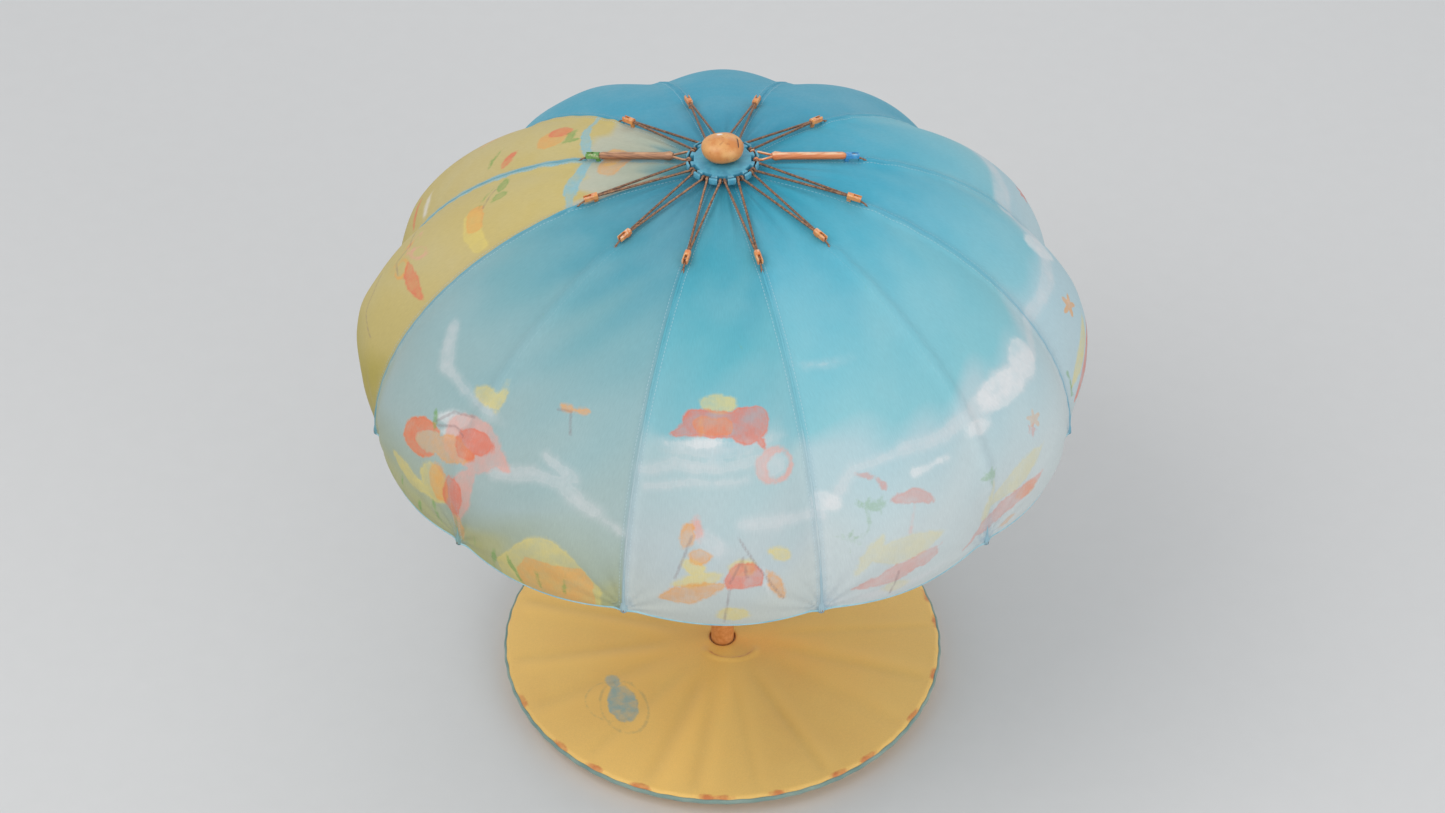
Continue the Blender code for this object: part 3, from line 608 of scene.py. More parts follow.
def paint_right(art):
    """The right-hand gores: starfish, a swoosh of sand and a long cloud."""
    art.blot("white", 93, 0.665, 17, 24, -20)
    art.stripe("mist", ((76.5, 0.70), (84, 0.69), (97, 0.665), (112, 0.655), (130, 0.66)), (16, 20, 30, 22))
    art.paint("orange", star(*art.at(85.5, 0.765), 15, -10))
    art.blot("white", 86.2, 0.76, 3.2, 3.2)
    art.paint("coral", star(*art.at(116, 0.76), 12, 25))
    art.lens("yellow", (77.5, 0.915), (88.0, 0.815), 19)
    art.lens("coral", (78.5, 0.965), (90.0, 0.845), 19)
    art.stripe("green", ((77.3, 0.865), (77.8, 0.93)), 4)
    art.lens("orange", (79.5, 0.985), (86.5, 0.93), 12)
    art.lens("yellow", (106, 0.92), (122, 0.87), 20)
    art.lens("coral", (107, 0.955), (124, 0.905), 17)


def paint_hazy(art):
    """The hazy gores to the left: a ball beside a ragged pink shell, a small bird and long clouds."""
    x, y = art.at(-54.0, 0.80)
    art.paint("orange", oval(x, y, 29, 21, -22))
    art.paint("coral", both(oval(x, y, 29, 21, -22), -oval(x - 15, y + 4, 24, 12, -22)))
    art.lens("orange", (-53.0, 0.80), (-42.5, 0.765), 30)
    art.paint("green", leaf(x - 8, y + 27, 24, 6, 62))
    x, y = art.at(-43.8, 0.745)
    art.paint("pink", puffs(x + 1, y + 1, 42, 27, 4))
    art.paint("pink", oval(x + 17, y - 12, 20, 16, -12))
    art.paint("coral", oval(x - 3, y + 3, 24, 12, -14))
    art.paint("coral", oval(x + 8, y - 9, 15, 10, 24))
    art.lens("pink", (-42.0, 0.725), (-35.0, 0.755), 17)
    art.lens("white", (-53.0, 0.745), (-45.5, 0.705), 17)
    art.lens("white", (-51.0, 0.765), (-47.0, 0.745), 12)
    art.line(((-52.5, 0.752), (-50.0, 0.715), (-45.5, 0.70)), 0.8)
    art.line(((-52.0, 0.758), (-48.5, 0.736), (-46.0, 0.745)), 0.7)
    art.blot("coral", -45.3, 0.875, 15, 27, 6)
    art.lens("pink", (-42.0, 0.78), (-45.0, 0.94), 30)
    art.blot("orange", -48.6, 0.865, 14, 23, -14)
    art.blot("yellow", -49.6, 0.875, 20, 25, -16)
    art.lens("yellow", (-60.5, 0.88), (-50.0, 0.915), 19)
    art.lens("orange", (-45.6, 0.89), (-43.8, 0.99), 13)
    art.paint("yellow", puffs(*art.at(-45.5, 0.655), 24, 11, 3))
    art.blot("yellow", -42.8, 0.645, 6, 14, -6)
    art.blot("mist", -45.5, 0.675, 20, 6, 6)
    x, y = art.at(-28.3, 0.60)
    art.paint("orange", leaf(x + 8, y - 1, 20, 8, 8))
    art.paint("orange", leaf(x - 8, y, 18, 7, -10))
    art.line(((-31.2, 0.61), (-28.6, 0.605), (-27.2, 0.645)), 0.9)
    art.stripe("mist", ((-62, 0.60), (-57, 0.655), (-50, 0.67)), (15, 8))
    art.stripe(
        "mist", ((-38, 0.77), (-31, 0.735), (-26, 0.735), (-20, 0.785), (-15.5, 0.83)), (13, 12, 13, 7)
    )
    art.stripe("mist", ((-30, 0.695), (-24, 0.725)), 8)
    x, y = art.at(-27, 0.955)
    art.paint("yellow", dune_shape(x, y, 118, 58))
    art.paint("orange", both(dune_shape(x - 10, y + 8, 84, 44), -(y + 27)))
    for k in range(11):
        u, v = art.at(-66 + 4.2 * k, 0.955 + 0.012 * (k % 2))
        art.paint("green", leaf(u, v, 26 + 6 * (k % 3), 3.6, 76 + 10 * (k % 4)))


def paint_sunny(art):
    """The sunny gores: fruit, a carrot, leaves and scribbles, with a sky-blue ribbon."""
    x, y = art.at(-102.5, 0.222)
    art.paint("orange", oval(x, y, 25, 17))
    art.paint("yellow", oval(x + 5, y - 4, 14, 9))
    x, y = art.at(-120.5, 0.385)
    art.paint("orange", oval(x - 3, y - 3, 21, 17, 20))
    art.paint("coral", oval(x + 9, y - 2, 12, 14))
    art.paint("green", leaf(x + 2, y + 17, 34, 11, -12))
    art.paint("green", leaf(x - 9, y + 23, 20, 7, 62))
    art.lens("coral", (-115.0, 0.46), (-108.5, 0.49), 13)
    art.lens("green", (-117.5, 0.505), (-108.5, 0.53), 7)
    art.blot("green", -99.5, 0.455, 14, 6, -20)
    art.blot("green", -93.5, 0.445, 12, 7, 62)
    art.lens("green", (-99.0, 0.475), (-91.5, 0.485), 7)
    art.line(((-98.0, 0.465), (-94.0, 0.47), (-91.0, 0.475)), 0.8)
    art.paint("yellow", bar(*art.at(-83.5, 0.497), -26, 0, 17, 4, 21))
    art.paint("orange", bar(*art.at(-84.5, 0.49), -28, 0, -6, 2, 20))
    art.lens("coral", (-87.5, 0.655), (-77.5, 0.665), 19)
    art.paint("pink", np.abs(oval(*art.at(-92.0, 0.64), 13, 8, 30)) - 0.9)
    art.paint("pink", np.abs(oval(*art.at(-88.0, 0.625), 12, 7, -50)) - 0.8)
    art.paint("orange", np.abs(oval(*art.at(-87.5, 0.675), 12, 9, 10)) - 0.8)
    art.paint("orange", np.abs(oval(*art.at(-91.0, 0.67), 16, 5, 60)) - 0.6)
    art.line(((-97.0, 0.66), (-92.0, 0.65), (-90.5, 0.69), (-86.5, 0.685)), 0.7)
    art.line(((-92.0, 0.745), (-88.5, 0.765), (-86.5, 0.80), (-82.0, 0.82)), 1.0)
    art.line(((-124.0, 0.62), (-120.0, 0.65), (-121.5, 0.69)), 0.8)
    art.lens("coral", (-114.5, 0.745), (-107.5, 0.775), 9)
    art.lens("white", (-112.5, 0.70), (-107.0, 0.73), 8)
    art.lens("pink", (-132.0, 0.57), (-122.0, 0.60), 6)
    ribbon = (
        (-134.5, 0.36), (-126, 0.335), (-117, 0.305), (-105, 0.278), (-94, 0.285), (-84, 0.30), (-75.5, 0.315)
    )
    art.stripe("azure", ribbon, (7, 9, 11, 12, 14, 10))
    seam_band = art.at(-105, 0.5)[0] * radius_of(art.share) / radius_of(0.5)
    art.paint("azure", both(np.abs(seam_band) - 5.0, (0.12 - art.share) * ARC_LENGTH / MM))


def prints(turn, share):
    art = Print(turn, share)
    for paint_gores in (paint_middle, paint_shore, paint_right, paint_hazy, paint_sunny):
        paint_gores(art)
    return art.field


# ---- materials


class Nodes:
    """A short way to write a Principled material's node tree."""

    def __init__(self, name):
        self.mat = bpy.data.materials.new(name)
        self.mat.use_nodes = True
        self.tree = self.mat.node_tree
        self.bsdf = self.tree.nodes["Principled BSDF"]

    def add(self, kind, inputs=None, **fields):
        node = self.tree.nodes.new(kind)
        for key, value in fields.items():
            setattr(node, key, value)
        for key, value in (inputs or {}).items():
            self.put(node, key, value)
        return node

    def put(self, node, key, value):
        if isinstance(value, bpy.types.NodeSocket):
            self.tree.links.new(value, node.inputs[key])
        else:
            node.inputs[key].default_value = value

    def set(self, **inputs):
        for key, value in inputs.items():
            self.put(self.bsdf, key.replace("_", " "), value)

    def place(self):
        return self.add("ShaderNodeTexCoord").outputs["Object"]

    def attribute(self, name, output="Fac"):
        return self.add("ShaderNodeAttribute", attribute_name=name).outputs[output]

    def math(self, operation, *values):
        node = self.add("ShaderNodeMath", operation=operation)
        for i, value in enumerate(values):
            self.put(node, i, value)
        return node.outputs[0]

    def times(self, a, b):
        return self.math("MULTIPLY", a, b)

    def noise(self, vector, scale, detail=3.0, roughness=0.55):
        node = self.add(
            "ShaderNodeTexNoise", {"Vector": vector, "Scale": scale, "Detail": detail, "Roughness": roughness}
        )
        return node.outputs["Fac"]

    def stretch(self, vector, scale=(1, 1, 1), rotation=(0, 0, 0)):
        node = self.add("ShaderNodeMapping", {"Vector": vector, "Scale": scale, "Rotation": rotation})
        return node.outputs[0]

    def remap(self, value, from_low, from_high, to_low, to_high):
        node = self.add("ShaderNodeMapRange", interpolation_type="SMOOTHSTEP")
        for key, entry in zip(
            ("Value", "From Min", "From Max", "To Min", "To Max"),
            (value, from_low, from_high, to_low, to_high),
        ):
            self.put(node, key, entry)
        return node.outputs[0]

    def mix(self, factor, a, b, blend="MIX"):
        """Mixes sockets or 0-255 display colours."""
        node = self.add("ShaderNodeMix", data_type="RGBA", blend_type=blend)
        for key, entry in ((0, factor), (6, a), (7, b)):
            if isinstance(entry, tuple):
                entry = (*tone(entry), 1.0)
            self.put(node, key, entry)
        return node.outputs[2]

    def flecked(self, colour, fine, strength, low):
        """Darkens the colour where a fine noise is low, down to a 0-255 grey."""
        return self.mix(strength, colour, self.mix(fine, (low,) * 3, (255,) * 3), "MULTIPLY")

    def axis(self, vector, name):
        return self.add("ShaderNodeSeparateXYZ", {"Vector": vector}).outputs[name]

    def bump(self, height, strength, distance, normal=None):
        node = self.add("ShaderNodeBump", {"Height": height, "Strength": strength, "Distance": distance})
        if normal is not None:
            self.put(node, "Normal", normal)
        return node.outputs[0]

    def weave(self, coordinates, pitch):
        """Plain weave height from coordinates in metres."""
        across, along = (self.times(self.axis(coordinates, name), math.pi / pitch) for name in "XY")
        return self.math("ABSOLUTE", self.times(self.math("SINE", across), self.math("SINE", along)))


def tone(rgb):
    return tuple(float(v) for v in linear(rgb))


STITCH_PITCH = 4.2 * MM
STITCH_INSET = 4.6
THREAD_PITCH = 1.1 * MM
TAPE_THREAD_PITCH = 1.2 * MM
TAPE_TURN = (0.6, 0.4, 0.3)


def canopy_material():
    """The printed cloth: ground colours, wobbling inks, pen lines, stitched seams and the weave, with painted
    shade towards the seams and at the rib tips.
    """
    m = Nodes("canopy_print")
    where = m.place()
    colour = m.attribute("ground", "Color")
    cloudy = m.noise(where, 9.0, 4)
    colour = m.mix(m.remap(cloudy, 0.35, 0.75, 0.0, 0.10), colour, (205, 222, 224))
    broad = m.math("SUBTRACT", m.noise(where, 34.0, 4, 0.6), 0.5)
    close = m.math("SUBTRACT", m.noise(where, 150.0, 3, 0.65), 0.5)
    wobble = m.math("ADD", m.times(broad, 11.0), m.times(close, 5.0))
    density = m.noise(where, 42.0, 4, 0.65)
    worn_off = m.math("SUBTRACT", 1.0, m.times(m.attribute("faded"), 0.45))
    tints = {
        "mist": ((220, 218, 219), 0.50, 7.0),
        "azure": ((136, 190, 204), 0.85, 1.6),
        "white": ((230, 229, 229), 0.66, 4.0),
        "yellow": ((226, 205, 116), 0.66, 2.6),
        "pink": ((230, 164, 150), 0.66, 2.6),
        "orange": ((230, 164, 92), 0.72, 1.8),
        "coral": ((224, 118, 92), 0.76, 1.5),
        "green": ((118, 164, 86), 0.66, 1.6),
    }
    for ink, (tint, cover, soft) in tints.items():
        distance = m.math("ADD", m.attribute(ink), wobble)
        body = m.remap(distance, -soft, soft, 1.0, 0.0)
        wash = m.remap(density, 0.3, 0.7, cover * 0.55, cover)
        rim = m.remap(m.math("ABSOLUTE", m.math("ADD", distance, 1.2)), 0.0, 1.6, 0.14, 0.0)
        strength = m.times(body, m.math("ADD", wash, rim))
        if ink not in CLOUD_INKS:
            strength = m.times(strength, worn_off)
        colour = m.mix(strength, colour, tint)
    pen = m.math("ADD", m.attribute("line"), m.times(close, 2.4))
    colour = m.mix(m.remap(pen, -0.2, 2.0, 0.42, 0.0), colour, (140, 116, 118))
    seam = m.attribute("seam")
    shown = m.attribute("seam_shown")
    # painted shade: the cloth darkens to blue towards each seam's valley
    colour = m.mix(m.times(m.remap(seam, 1.0, 9.0, 0.15, 0.0), shown), colour, (64, 140, 170))
    weave_at = m.attribute("weave", "Vector")
    dash = m.math("FRACT", m.times(m.axis(weave_at, "Y"), 1 / STITCH_PITCH))
    edge = m.math("ABSOLUTE", m.math("SUBTRACT", seam, STITCH_INSET))
    stitch = m.times(m.remap(edge, 0.2, 0.6, 1.0, 0.0), m.remap(dash, 0.55, 0.68, 1.0, 0.0))
    colour = m.mix(m.times(stitch, m.times(shown, 0.35)), colour, (206, 228, 234))
    # painted shade in the gathered cloth at each rib tip
    gather = m.times(m.attribute("tip_fold_shade"), m.remap(m.noise(where, 190.0, 3), 0.35, 0.65, 0.35, 1.0))
    colour = m.mix(m.times(gather, 0.75), colour, (58, 132, 168))
    colour = m.mix(m.times(m.attribute("inside"), 0.34), colour, (196, 212, 214))
    fibre = m.noise(m.stretch(weave_at, (900, 120, 1)), 1.0, 2)
    colour = m.flecked(colour, fibre, 0.35, 190)
    fine = m.noise(where, 210.0, 3)
    height = m.math("ADD", m.times(m.weave(weave_at, THREAD_PITCH), 0.5), m.times(fine, 0.9))
    soft_folds = m.bump(m.noise(m.stretch(where, (26, 26, 16)), 1.0, 3), 0.35, 0.004)
    sewn = m.bump(m.times(stitch, shown), 0.5, 0.0005, soft_folds)
    m.set(
        Base_Color=colour,
        Roughness=m.remap(fine, 0.2, 0.8, 0.62, 0.8),
        Normal=m.bump(height, 0.22, 0.0005, sewn),
    )
    m.set(Specular_IOR_Level=0.16, Sheen_Weight=0.05, Sheen_Roughness=0.45)
    return m.mat


def fabric(name, rgb, second, scale=60.0):
    """Tape or binding in two shades."""
    m = Nodes(name)
    where = m.place()
    cloudy = m.noise(where, scale, 4)
    colour = m.mix(m.remap(cloudy, 0.3, 0.7, 0, 1), rgb, second)
    fine = m.noise(where, 900.0, 2)
    colour = m.flecked(colour, fine, 0.35, 150)
    threads = m.weave(m.stretch(where, (1, 1, 1), TAPE_TURN), TAPE_THREAD_PITCH)
    height = m.math("ADD", threads, m.times(fine, 0.8))
    m.set(Base_Color=colour, Roughness=0.72, Normal=m.bump(height, 0.35, 0.0004), Sheen_Weight=0.25)
    return m.mat


def plastic(name, rgb, second, rough=0.42, scale=160.0, wear=(232, 214, 190)):
    """Moulded plastic in two shades, worn at its edges."""
    m = Nodes(name)
    where = m.place()
    patch = m.noise(where, scale, 4)
    colour = m.mix(m.remap(patch, 0.35, 0.68, 0, 1), rgb, second)
    edge = m.add("ShaderNodeNewGeometry").outputs["Pointiness"]
    worn = m.times(m.remap(edge, 0.53, 0.60, 0, 0.55), m.remap(m.noise(where, 420.0, 3), 0.42, 0.6, 0, 1))
    colour = m.mix(worn, colour, wear)
    grain = m.noise(where, 1500.0, 2)
    m.set(
        Base_Color=colour,
        Roughness=m.remap(patch, 0.3, 0.7, rough - 0.07, rough + 0.12),
        Normal=m.bump(grain, 0.18, 0.0003),
    )
    m.set(Coat_Weight=0.08, Coat_Roughness=0.35)
    return m.mat


def metal(name, rgb, second, rough=0.36, metallic=0.85, scale=240.0):
    """Brushed or painted metal in two shades."""
    m = Nodes(name)
    where = m.place()
    patch = m.noise(where, scale, 4, 0.65)
    colour = m.mix(m.remap(patch, 0.35, 0.7, 0, 1), rgb, second)
    brushed = m.noise(m.stretch(where, (1800, 1800, 60)), 1.0, 2)
    m.set(
        Base_Color=colour, Metallic=metallic, Roughness=m.remap(patch, 0.3, 0.7, rough - 0.08, rough + 0.14)
    )
    m.set(Normal=m.bump(brushed, 0.14, 0.0002))
    return m.mat


def rod(name, turn, dark, light, highlight_colour):
    """Turned wood under old paint: long grain along a rod that runs out from the hub at this turn, and a
    painted highlight streaked along its upward faces.
    """
    m = Nodes(name)
    along = m.stretch(m.place(), (1, 1, 1), (0, 0, -turn))
    grain = m.noise(m.stretch(along, (26, 480, 480)), 1.0, 4, 0.6)
    colour = m.mix(m.remap(grain, 0.32, 0.68, 0, 1), dark, light)
    streak = m.noise(m.stretch(along, (14, 260, 260)), 1.0, 3)
    # painted highlight: faces that look up are mixed towards a pale colour
    up = m.axis(m.add("ShaderNodeNewGeometry").outputs["Normal"], "Z")
    top = m.remap(up, 0.55, 0.95, 0.0, 0.8)
    colour = m.mix(m.times(top, m.remap(streak, 0.4, 0.6, 0.15, 1.0)), colour, highlight_colour)
    m.set(
        Base_Color=colour,
        Roughness=0.48,
        Normal=m.bump(grain, 0.3, 0.0004),
        Coat_Weight=0.15,
        Coat_Roughness=0.3,
    )
    return m.mat


def base_material():
    m = Nodes("base_cloth")
    where = m.place()
    colour = m.attribute("ground", "Color")
    cloudy = m.noise(where, 11.0, 5, 0.6)
    colour = m.mix(m.remap(cloudy, 0.35, 0.7, 0.0, 0.35), colour, (250, 206, 118))
    wobble = m.times(m.math("SUBTRACT", m.noise(where, 90.0, 4, 0.65), 0.5), 8.0)
    density = m.noise(where, 70.0, 3, 0.6)
    for ink, tint, cover in (
        ("coral", (204, 92, 50), 0.8), ("azure", (138, 172, 172), 0.92), ("white", (166, 150, 112), 0.5)
    ):
        body = m.remap(m.math("ADD", m.attribute(ink), wobble), -1.6, 1.6, 1.0, 0.0)
        colour = m.mix(m.times(body, m.remap(density, 0.3, 0.7, cover * 0.5, cover)), colour, tint)
    fine = m.noise(where, 700.0, 2)
    colour = m.flecked(colour, fine, 0.3, 170)
    weave = m.weave(where, THREAD_PITCH)
    folds = m.bump(m.noise(where, 24.0, 3), 0.3, 0.004)
    height = m.math("ADD", m.times(weave, 0.5), fine)
    m.set(
        Base_Color=colour,
        Roughness=m.remap(cloudy, 0.3, 0.7, 0.44, 0.62),
        Normal=m.bump(height, 0.22, 0.0005, folds),
    )
    m.set(Sheen_Weight=0.2, Sheen_Roughness=0.4, Specular_IOR_Level=0.45)
    return m.mat


CANOPY = canopy_material()
BASE_CLOTH = base_material()
PALE_CLOTH = fabric("hem_binding", (142, 196, 210), (170, 212, 220))
TRIM_CLOTH = fabric("base_trim", (112, 146, 140), (150, 172, 160), scale=24.0)
CLIP_ORANGE = plastic("clip_orange", (214, 124, 66), (230, 158, 88), 0.42)
CLIP_BLUE = plastic("clip_blue", (58, 138, 196), (86, 170, 214), 0.42)
CLIP_GREEN = plastic("clip_green", (86, 138, 62), (116, 166, 84), 0.42)
CROWN = plastic("crown_blue", (70, 148, 176), (88, 168, 192), 0.5)
BLACK_WIRE = metal("tie_wire", (84, 84, 88), (128, 124, 120))
WIRE = metal("rib_wire", (104, 78, 66), (176, 130, 96), 0.42, 0.45, 420.0)
STEEL = metal("pole_steel", (196, 198, 200), (222, 222, 220), 0.3, 0.95, 60.0)
STRETCHER = metal("stretcher_wire", (120, 104, 92), (168, 148, 128), 0.4, 0.6)
RUNNER = plastic("runner_nylon", (214, 132, 72), (228, 154, 92), 0.45)
RUBBER = plastic("ring_rubber", (44, 44, 46), (58, 58, 60), 0.7, wear=(80, 80, 82))
NYLON = plastic("washer_nylon", (228, 226, 218), (238, 236, 230), 0.5)
SOCKET = plastic("socket_orange", (204, 126, 62), (220, 148, 84), 0.45)
LOCK = plastic("lock_blue", (60, 132, 160), (80, 152, 178), 0.42)
WEIGHT = plastic("weight_cast", (120, 118, 112), (142, 138, 130), 0.8, 40.0)
ROD_RIGHT = rod("orange_rod", rib_turn(1), (206, 108, 56), (226, 138, 82), (250, 216, 178))
ROD_LEFT = rod("brown_rod", rib_turn(6), (122, 84, 64), (176, 124, 90), (214, 164, 122))


# ---- the canopy's pieces


def dress(mesh, turn, share, inside):
    """Writes the print's attributes on a cloth mesh."""
    add_colours(mesh, "ground", ground(turn, share))
    for ink, distance in prints(turn, share).items():
        add_floats(mesh, ink, distance)
    g = gore_fraction(turn)
    near = np.minimum(g, 1 - g) * math.radians(GORE_DEG) * radius_of(share) / MM
    add_floats(mesh, "seam", near)
    nearest = np.round((np.degrees(turn) - FIRST_RIB_DEG) / GORE_DEG).astype(int) % RIB_COUNT
    shown = 1 - FILL[nearest] * (1 - ease(0.86, 0.98, share))
    add_floats(mesh, "seam_shown", shown)
    add_floats(mesh, "inside", inside)
    apart = (np.degrees(turn) + 90 + 180) % 360 - 180
    add_floats(mesh, "faded", ease(13, 17, apart) * (1 - ease(70, 76, apart)))
    # How near each point is to its rib's tip, for the painted shade in the gathered cloth there.
    to_tip = np.hypot(near, (1 - share) * ARC_LENGTH / MM * 0.8)
    add_floats(mesh, "tip_fold_shade", np.exp(-to_tip / 11.0))
    offset = (g - 0.5) * math.radians(GORE_DEG) * radius_of(share)
    add_vectors(mesh, "weave", np.stack([offset, share * ARC_LENGTH, np.zeros_like(share)], -1))


def cloth_shell(name, turns, shares, closed=False):
    """A thin closed shell over a patch of the canopy, with the print on it."""
    t, s = np.meshgrid(turns, shares)
    outer = cloth_point(t, s)
    normal = cloth_normal(t, s)
    inner = outer - normal * CLOTH
    rows, cols = t.shape
    count = rows * cols
    verts = np.concatenate([outer.reshape(-1, 3), inner.reshape(-1, 3)])
    normals = np.concatenate([normal.reshape(-1, 3), -normal.reshape(-1, 3)])
    faces = [grid_faces(rows, cols, 0, True, closed), grid_faces(rows, cols, count, False, closed)]
    across = cols if closed else cols - 1
    j = np.arange(across)
    n = (j + 1) % cols
    last = (rows - 1) * cols
    faces.append(np.stack([j, n, n + count, j + count], -1))
    faces.append(np.stack([last + n, last + j, last + j + count, last + n + count], -1))
    if not closed:
        i = np.arange(rows - 1) * cols
        faces.append(np.stack([i + cols, i, i + count, i + cols + count], -1))
        e = i + cols - 1
        faces.append(np.stack([e, e + cols, e + cols + count, e + count], -1))
    obj = new_object(name, verts, np.concatenate(faces), CANOPY, normals)
    inside = np.concatenate([np.zeros(count), np.ones(count)])
    dress(obj.data, np.tile(t.ravel(), 2), np.tile(s.ravel(), 2), inside)
    return obj


def belong(obj, body, node=None):
    """The piece rides on a body and may replace a CAD node."""
    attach(obj, body)
    if node:
        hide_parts(node)


def gathered(obj, body):
    """The piece turns down with its rib, on a mesh of its own."""
    belong(obj, body)
    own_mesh(obj)


hub_turns = np.arange(RIB_COUNT * COLUMNS) / (RIB_COUNT * COLUMNS) * TURN
hub_shares = np.linspace(share_of(HUB_HOLE), share_of(DISC_EDGE), HUB_ROWS)
canopy_top = cloth_shell("canopy_top", hub_turns, hub_shares, closed=True)
belong(canopy_top, "mast", "canopy")


def seam_sleeve(number):
    """Fabric tape over the rod that lies in a seam, in the plane of +X."""
    start = share_of(ELBOW_RADIUS + 5 * MM)
    shares = np.linspace(start, 1.0, 90)
    radius = radius_of(shares)
    inner = np.minimum(radius, TIP_RADIUS - 1 * MM)
    slope = (dome_height(inner + 0.5 * MM) - dome_height(inner - 0.5 * MM)) / MM
    size = np.hypot(slope, 1)
    lift = OUTER_ROD_LIFT - SLEEVE_SINK
    path = np.stack([radius - slope / size * lift, 0 * radius, dome_height(radius) + lift / size], -1)
    along = shares * ARC_LENGTH / MM
    swell = 1 + 0.07 * np.sin(along / 9) + 0.05 * np.sin(along / 4.1 + number)
    swell = swell * (0.75 + 0.25 * ease(0, 0.03, shares - start))
    return turned(path, rib_turn(number)), SLEEVE_HALF_WIDTH * swell, SLEEVE_HALF_HEIGHT * swell


def tip_pocket(number):
    """The gathered end of a seam, over the rib's tip."""
    steps = np.linspace(0, 1, 22)
    drop = POCKET_ABOVE - steps * POCKET_LENGTH
    bulge = np.interp(steps, (0, 0.18, 0.5, 0.8, 0.93, 1.0), (2.2, 3.4, 4.1, 3.9, 2.8, 0.6)) * MM
    slope_in = np.interp(drop, (0, 15 * MM), (0, 1.6 * MM))
    path = np.stack([TIP_RADIUS + POCKET_OUT - np.maximum(slope_in, 0), 0 * steps, TIP_HEIGHT + drop], -1)
    return turned(path, rib_turn(number)), bulge, bulge * 0.9


def sleeve_material():
    """Cloth tape that keeps the print's colour beside it, a little bluer."""
    m = Nodes("seam_tape")
    where = m.place()
    tape = m.mix(m.noise(where, 60.0, 3), (84, 156, 184), (112, 178, 200))
    colour = m.mix(m.attribute("blue"), m.attribute("ground", "Color"), tape)
    fine = m.noise(where, 900.0, 2)
    colour = m.flecked(colour, fine, 0.3, 170)
    threads = m.weave(m.stretch(where, (1, 1, 1), TAPE_TURN), TAPE_THREAD_PITCH)
    height = m.math("ADD", threads, m.times(fine, 0.8))
    m.set(Base_Color=colour, Roughness=0.75, Normal=m.bump(height, 0.35, 0.0004), Specular_IOR_Level=0.15)
    return m.mat


SLEEVE_CLOTH = sleeve_material()


def dress_sleeve(obj, number):
    """Takes the ground colour of the bluer gore beside the seam."""
    points = np.empty(len(obj.data.vertices) * 3)
    obj.data.vertices.foreach_get("co", points)
    points = points.reshape(-1, 3)
    share = np.interp(np.minimum(np.hypot(points[:, 0], points[:, 1]), TIP_RADIUS), RADII, ARC) / ARC_LENGTH
    aside = math.radians(1.5)
    sides = [ground(np.full(len(share), rib_turn(number) + d), share) for d in (-aside, aside)]
    add_colours(obj.data, "ground", np.where(sides[0][:, 2:] > sides[1][:, 2:], sides[0], sides[1]))
    strength = SEAM_BLUES.get(number, SEAM_BLUE)
    add_floats(obj.data, "blue", np.minimum(strength + 0.35 * ease(0.86, 1.0, share), 1.0))


def rib_pieces(number):
    """One rib's cloth above and below the clip, its hem binding, seam tape and tip pocket."""
    label = f"{number:02d}"
    centre = rib_turn(number)
    half_gore = math.radians(GORE_DEG / 2)
    turns = np.linspace(centre - half_gore, centre + half_gore, COLUMNS + 1)
    inner_body, outer_body = "rib_" + label, "hem_rib_" + label
    inner_shares = np.linspace(share_of(DISC_EDGE), share_of(ELBOW_RADIUS), INNER_ROWS)
    upper = cloth_shell("canopy_upper_" + label, turns, inner_shares)
    gathered(upper, inner_body)
    outer_shares = np.linspace(share_of(ELBOW_RADIUS), 1.0, OUTER_ROWS)
    lower = cloth_shell("canopy_lower_" + label, turns, outer_shares)
    gathered(lower, outer_body)
    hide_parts("canopy")
    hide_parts("canopy")
    hem_normal = cloth_normal(turns, np.full_like(turns, 0.999))
    edge = cloth_point(turns, np.ones_like(turns)) - hem_normal * CLOTH / 2
    binding = tube("hem_binding_" + label, edge, np.full(len(turns), BINDING_RADIUS), PALE_CLOTH, 8)
    gathered(binding, outer_body)
    path, wide, high = seam_sleeve(number)
    sleeve = tube("seam_sleeve_" + label, path, wide, SLEEVE_CLOTH, 14, high)
    dress_sleeve(sleeve, number)
    belong(sleeve, outer_body)
    path, wide, high = tip_pocket(number)
    pocket = tube("tip_pocket_" + label, path, wide, SLEEVE_CLOTH, 36, high, 9, 0.07)
    dress_sleeve(pocket, number)
    belong(pocket, outer_body)


for number in range(1, RIB_COUNT + 1):
    rib_pieces(number)


# ---- the knob


KNOB_HALF_HEIGHT = 15 * MM


def knob_piece():
    """An oval pebble with a flat underside, a slit near one end and slightly uneven sides."""
    low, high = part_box("top_knob")
    half = (high - low) / 2
    rows, cols = 64, 96
    v, u = np.meshgrid(np.linspace(0, math.pi, rows), np.arange(cols) / cols * TURN, indexing="ij")
    x, y, z = np.sin(v) * np.cos(u), np.sin(v) * np.sin(u), np.cos(v)
    uneven = 1 - 0.012 * (1 + np.sin(3 * u + 2 * v)) - 0.008 * (1 + np.cos(5 * u - 3 * v))
    shape = [np.sign(c) * np.abs(c) ** 0.92 * uneven for c in (x, y)]
    rise = np.sign(z) * np.abs(z) ** 0.95 * uneven
    points = np.stack([shape[0] * half.x, shape[1] * half.y, high.z + (rise - 1) * KNOB_HALF_HEIGHT], -1)
    slit = np.exp(-(((x - 0.70 + 0.10 * y) / 0.045) ** 2)) * ease(0.5, 0.2, np.abs(y + 0.1)) * ease(0, 0.3, z)
    points[..., 2] -= 1.8 * MM * slit
    highlight_dimple = np.exp(-(((x + 0.12) / 0.17) ** 2) - (((y - 0.30) / 0.15) ** 2)) * (z > 0)
    points[..., 2] -= 0.5 * MM * highlight_dimple
    points[..., 2] = np.maximum(points[..., 2], low.z)
    faces = grid_faces(rows, cols, closed=True, flip=True)
    obj = new_object("knob_top", points.reshape(-1, 3), faces, knob_material())
    add_floats(obj.data, "slit", slit.ravel())
    add_floats(obj.data, "highlight_dimple", highlight_dimple.ravel())
    weld = obj.modifiers.new("weld", "WELD")
    weld.merge_threshold = 1e-6
    return obj


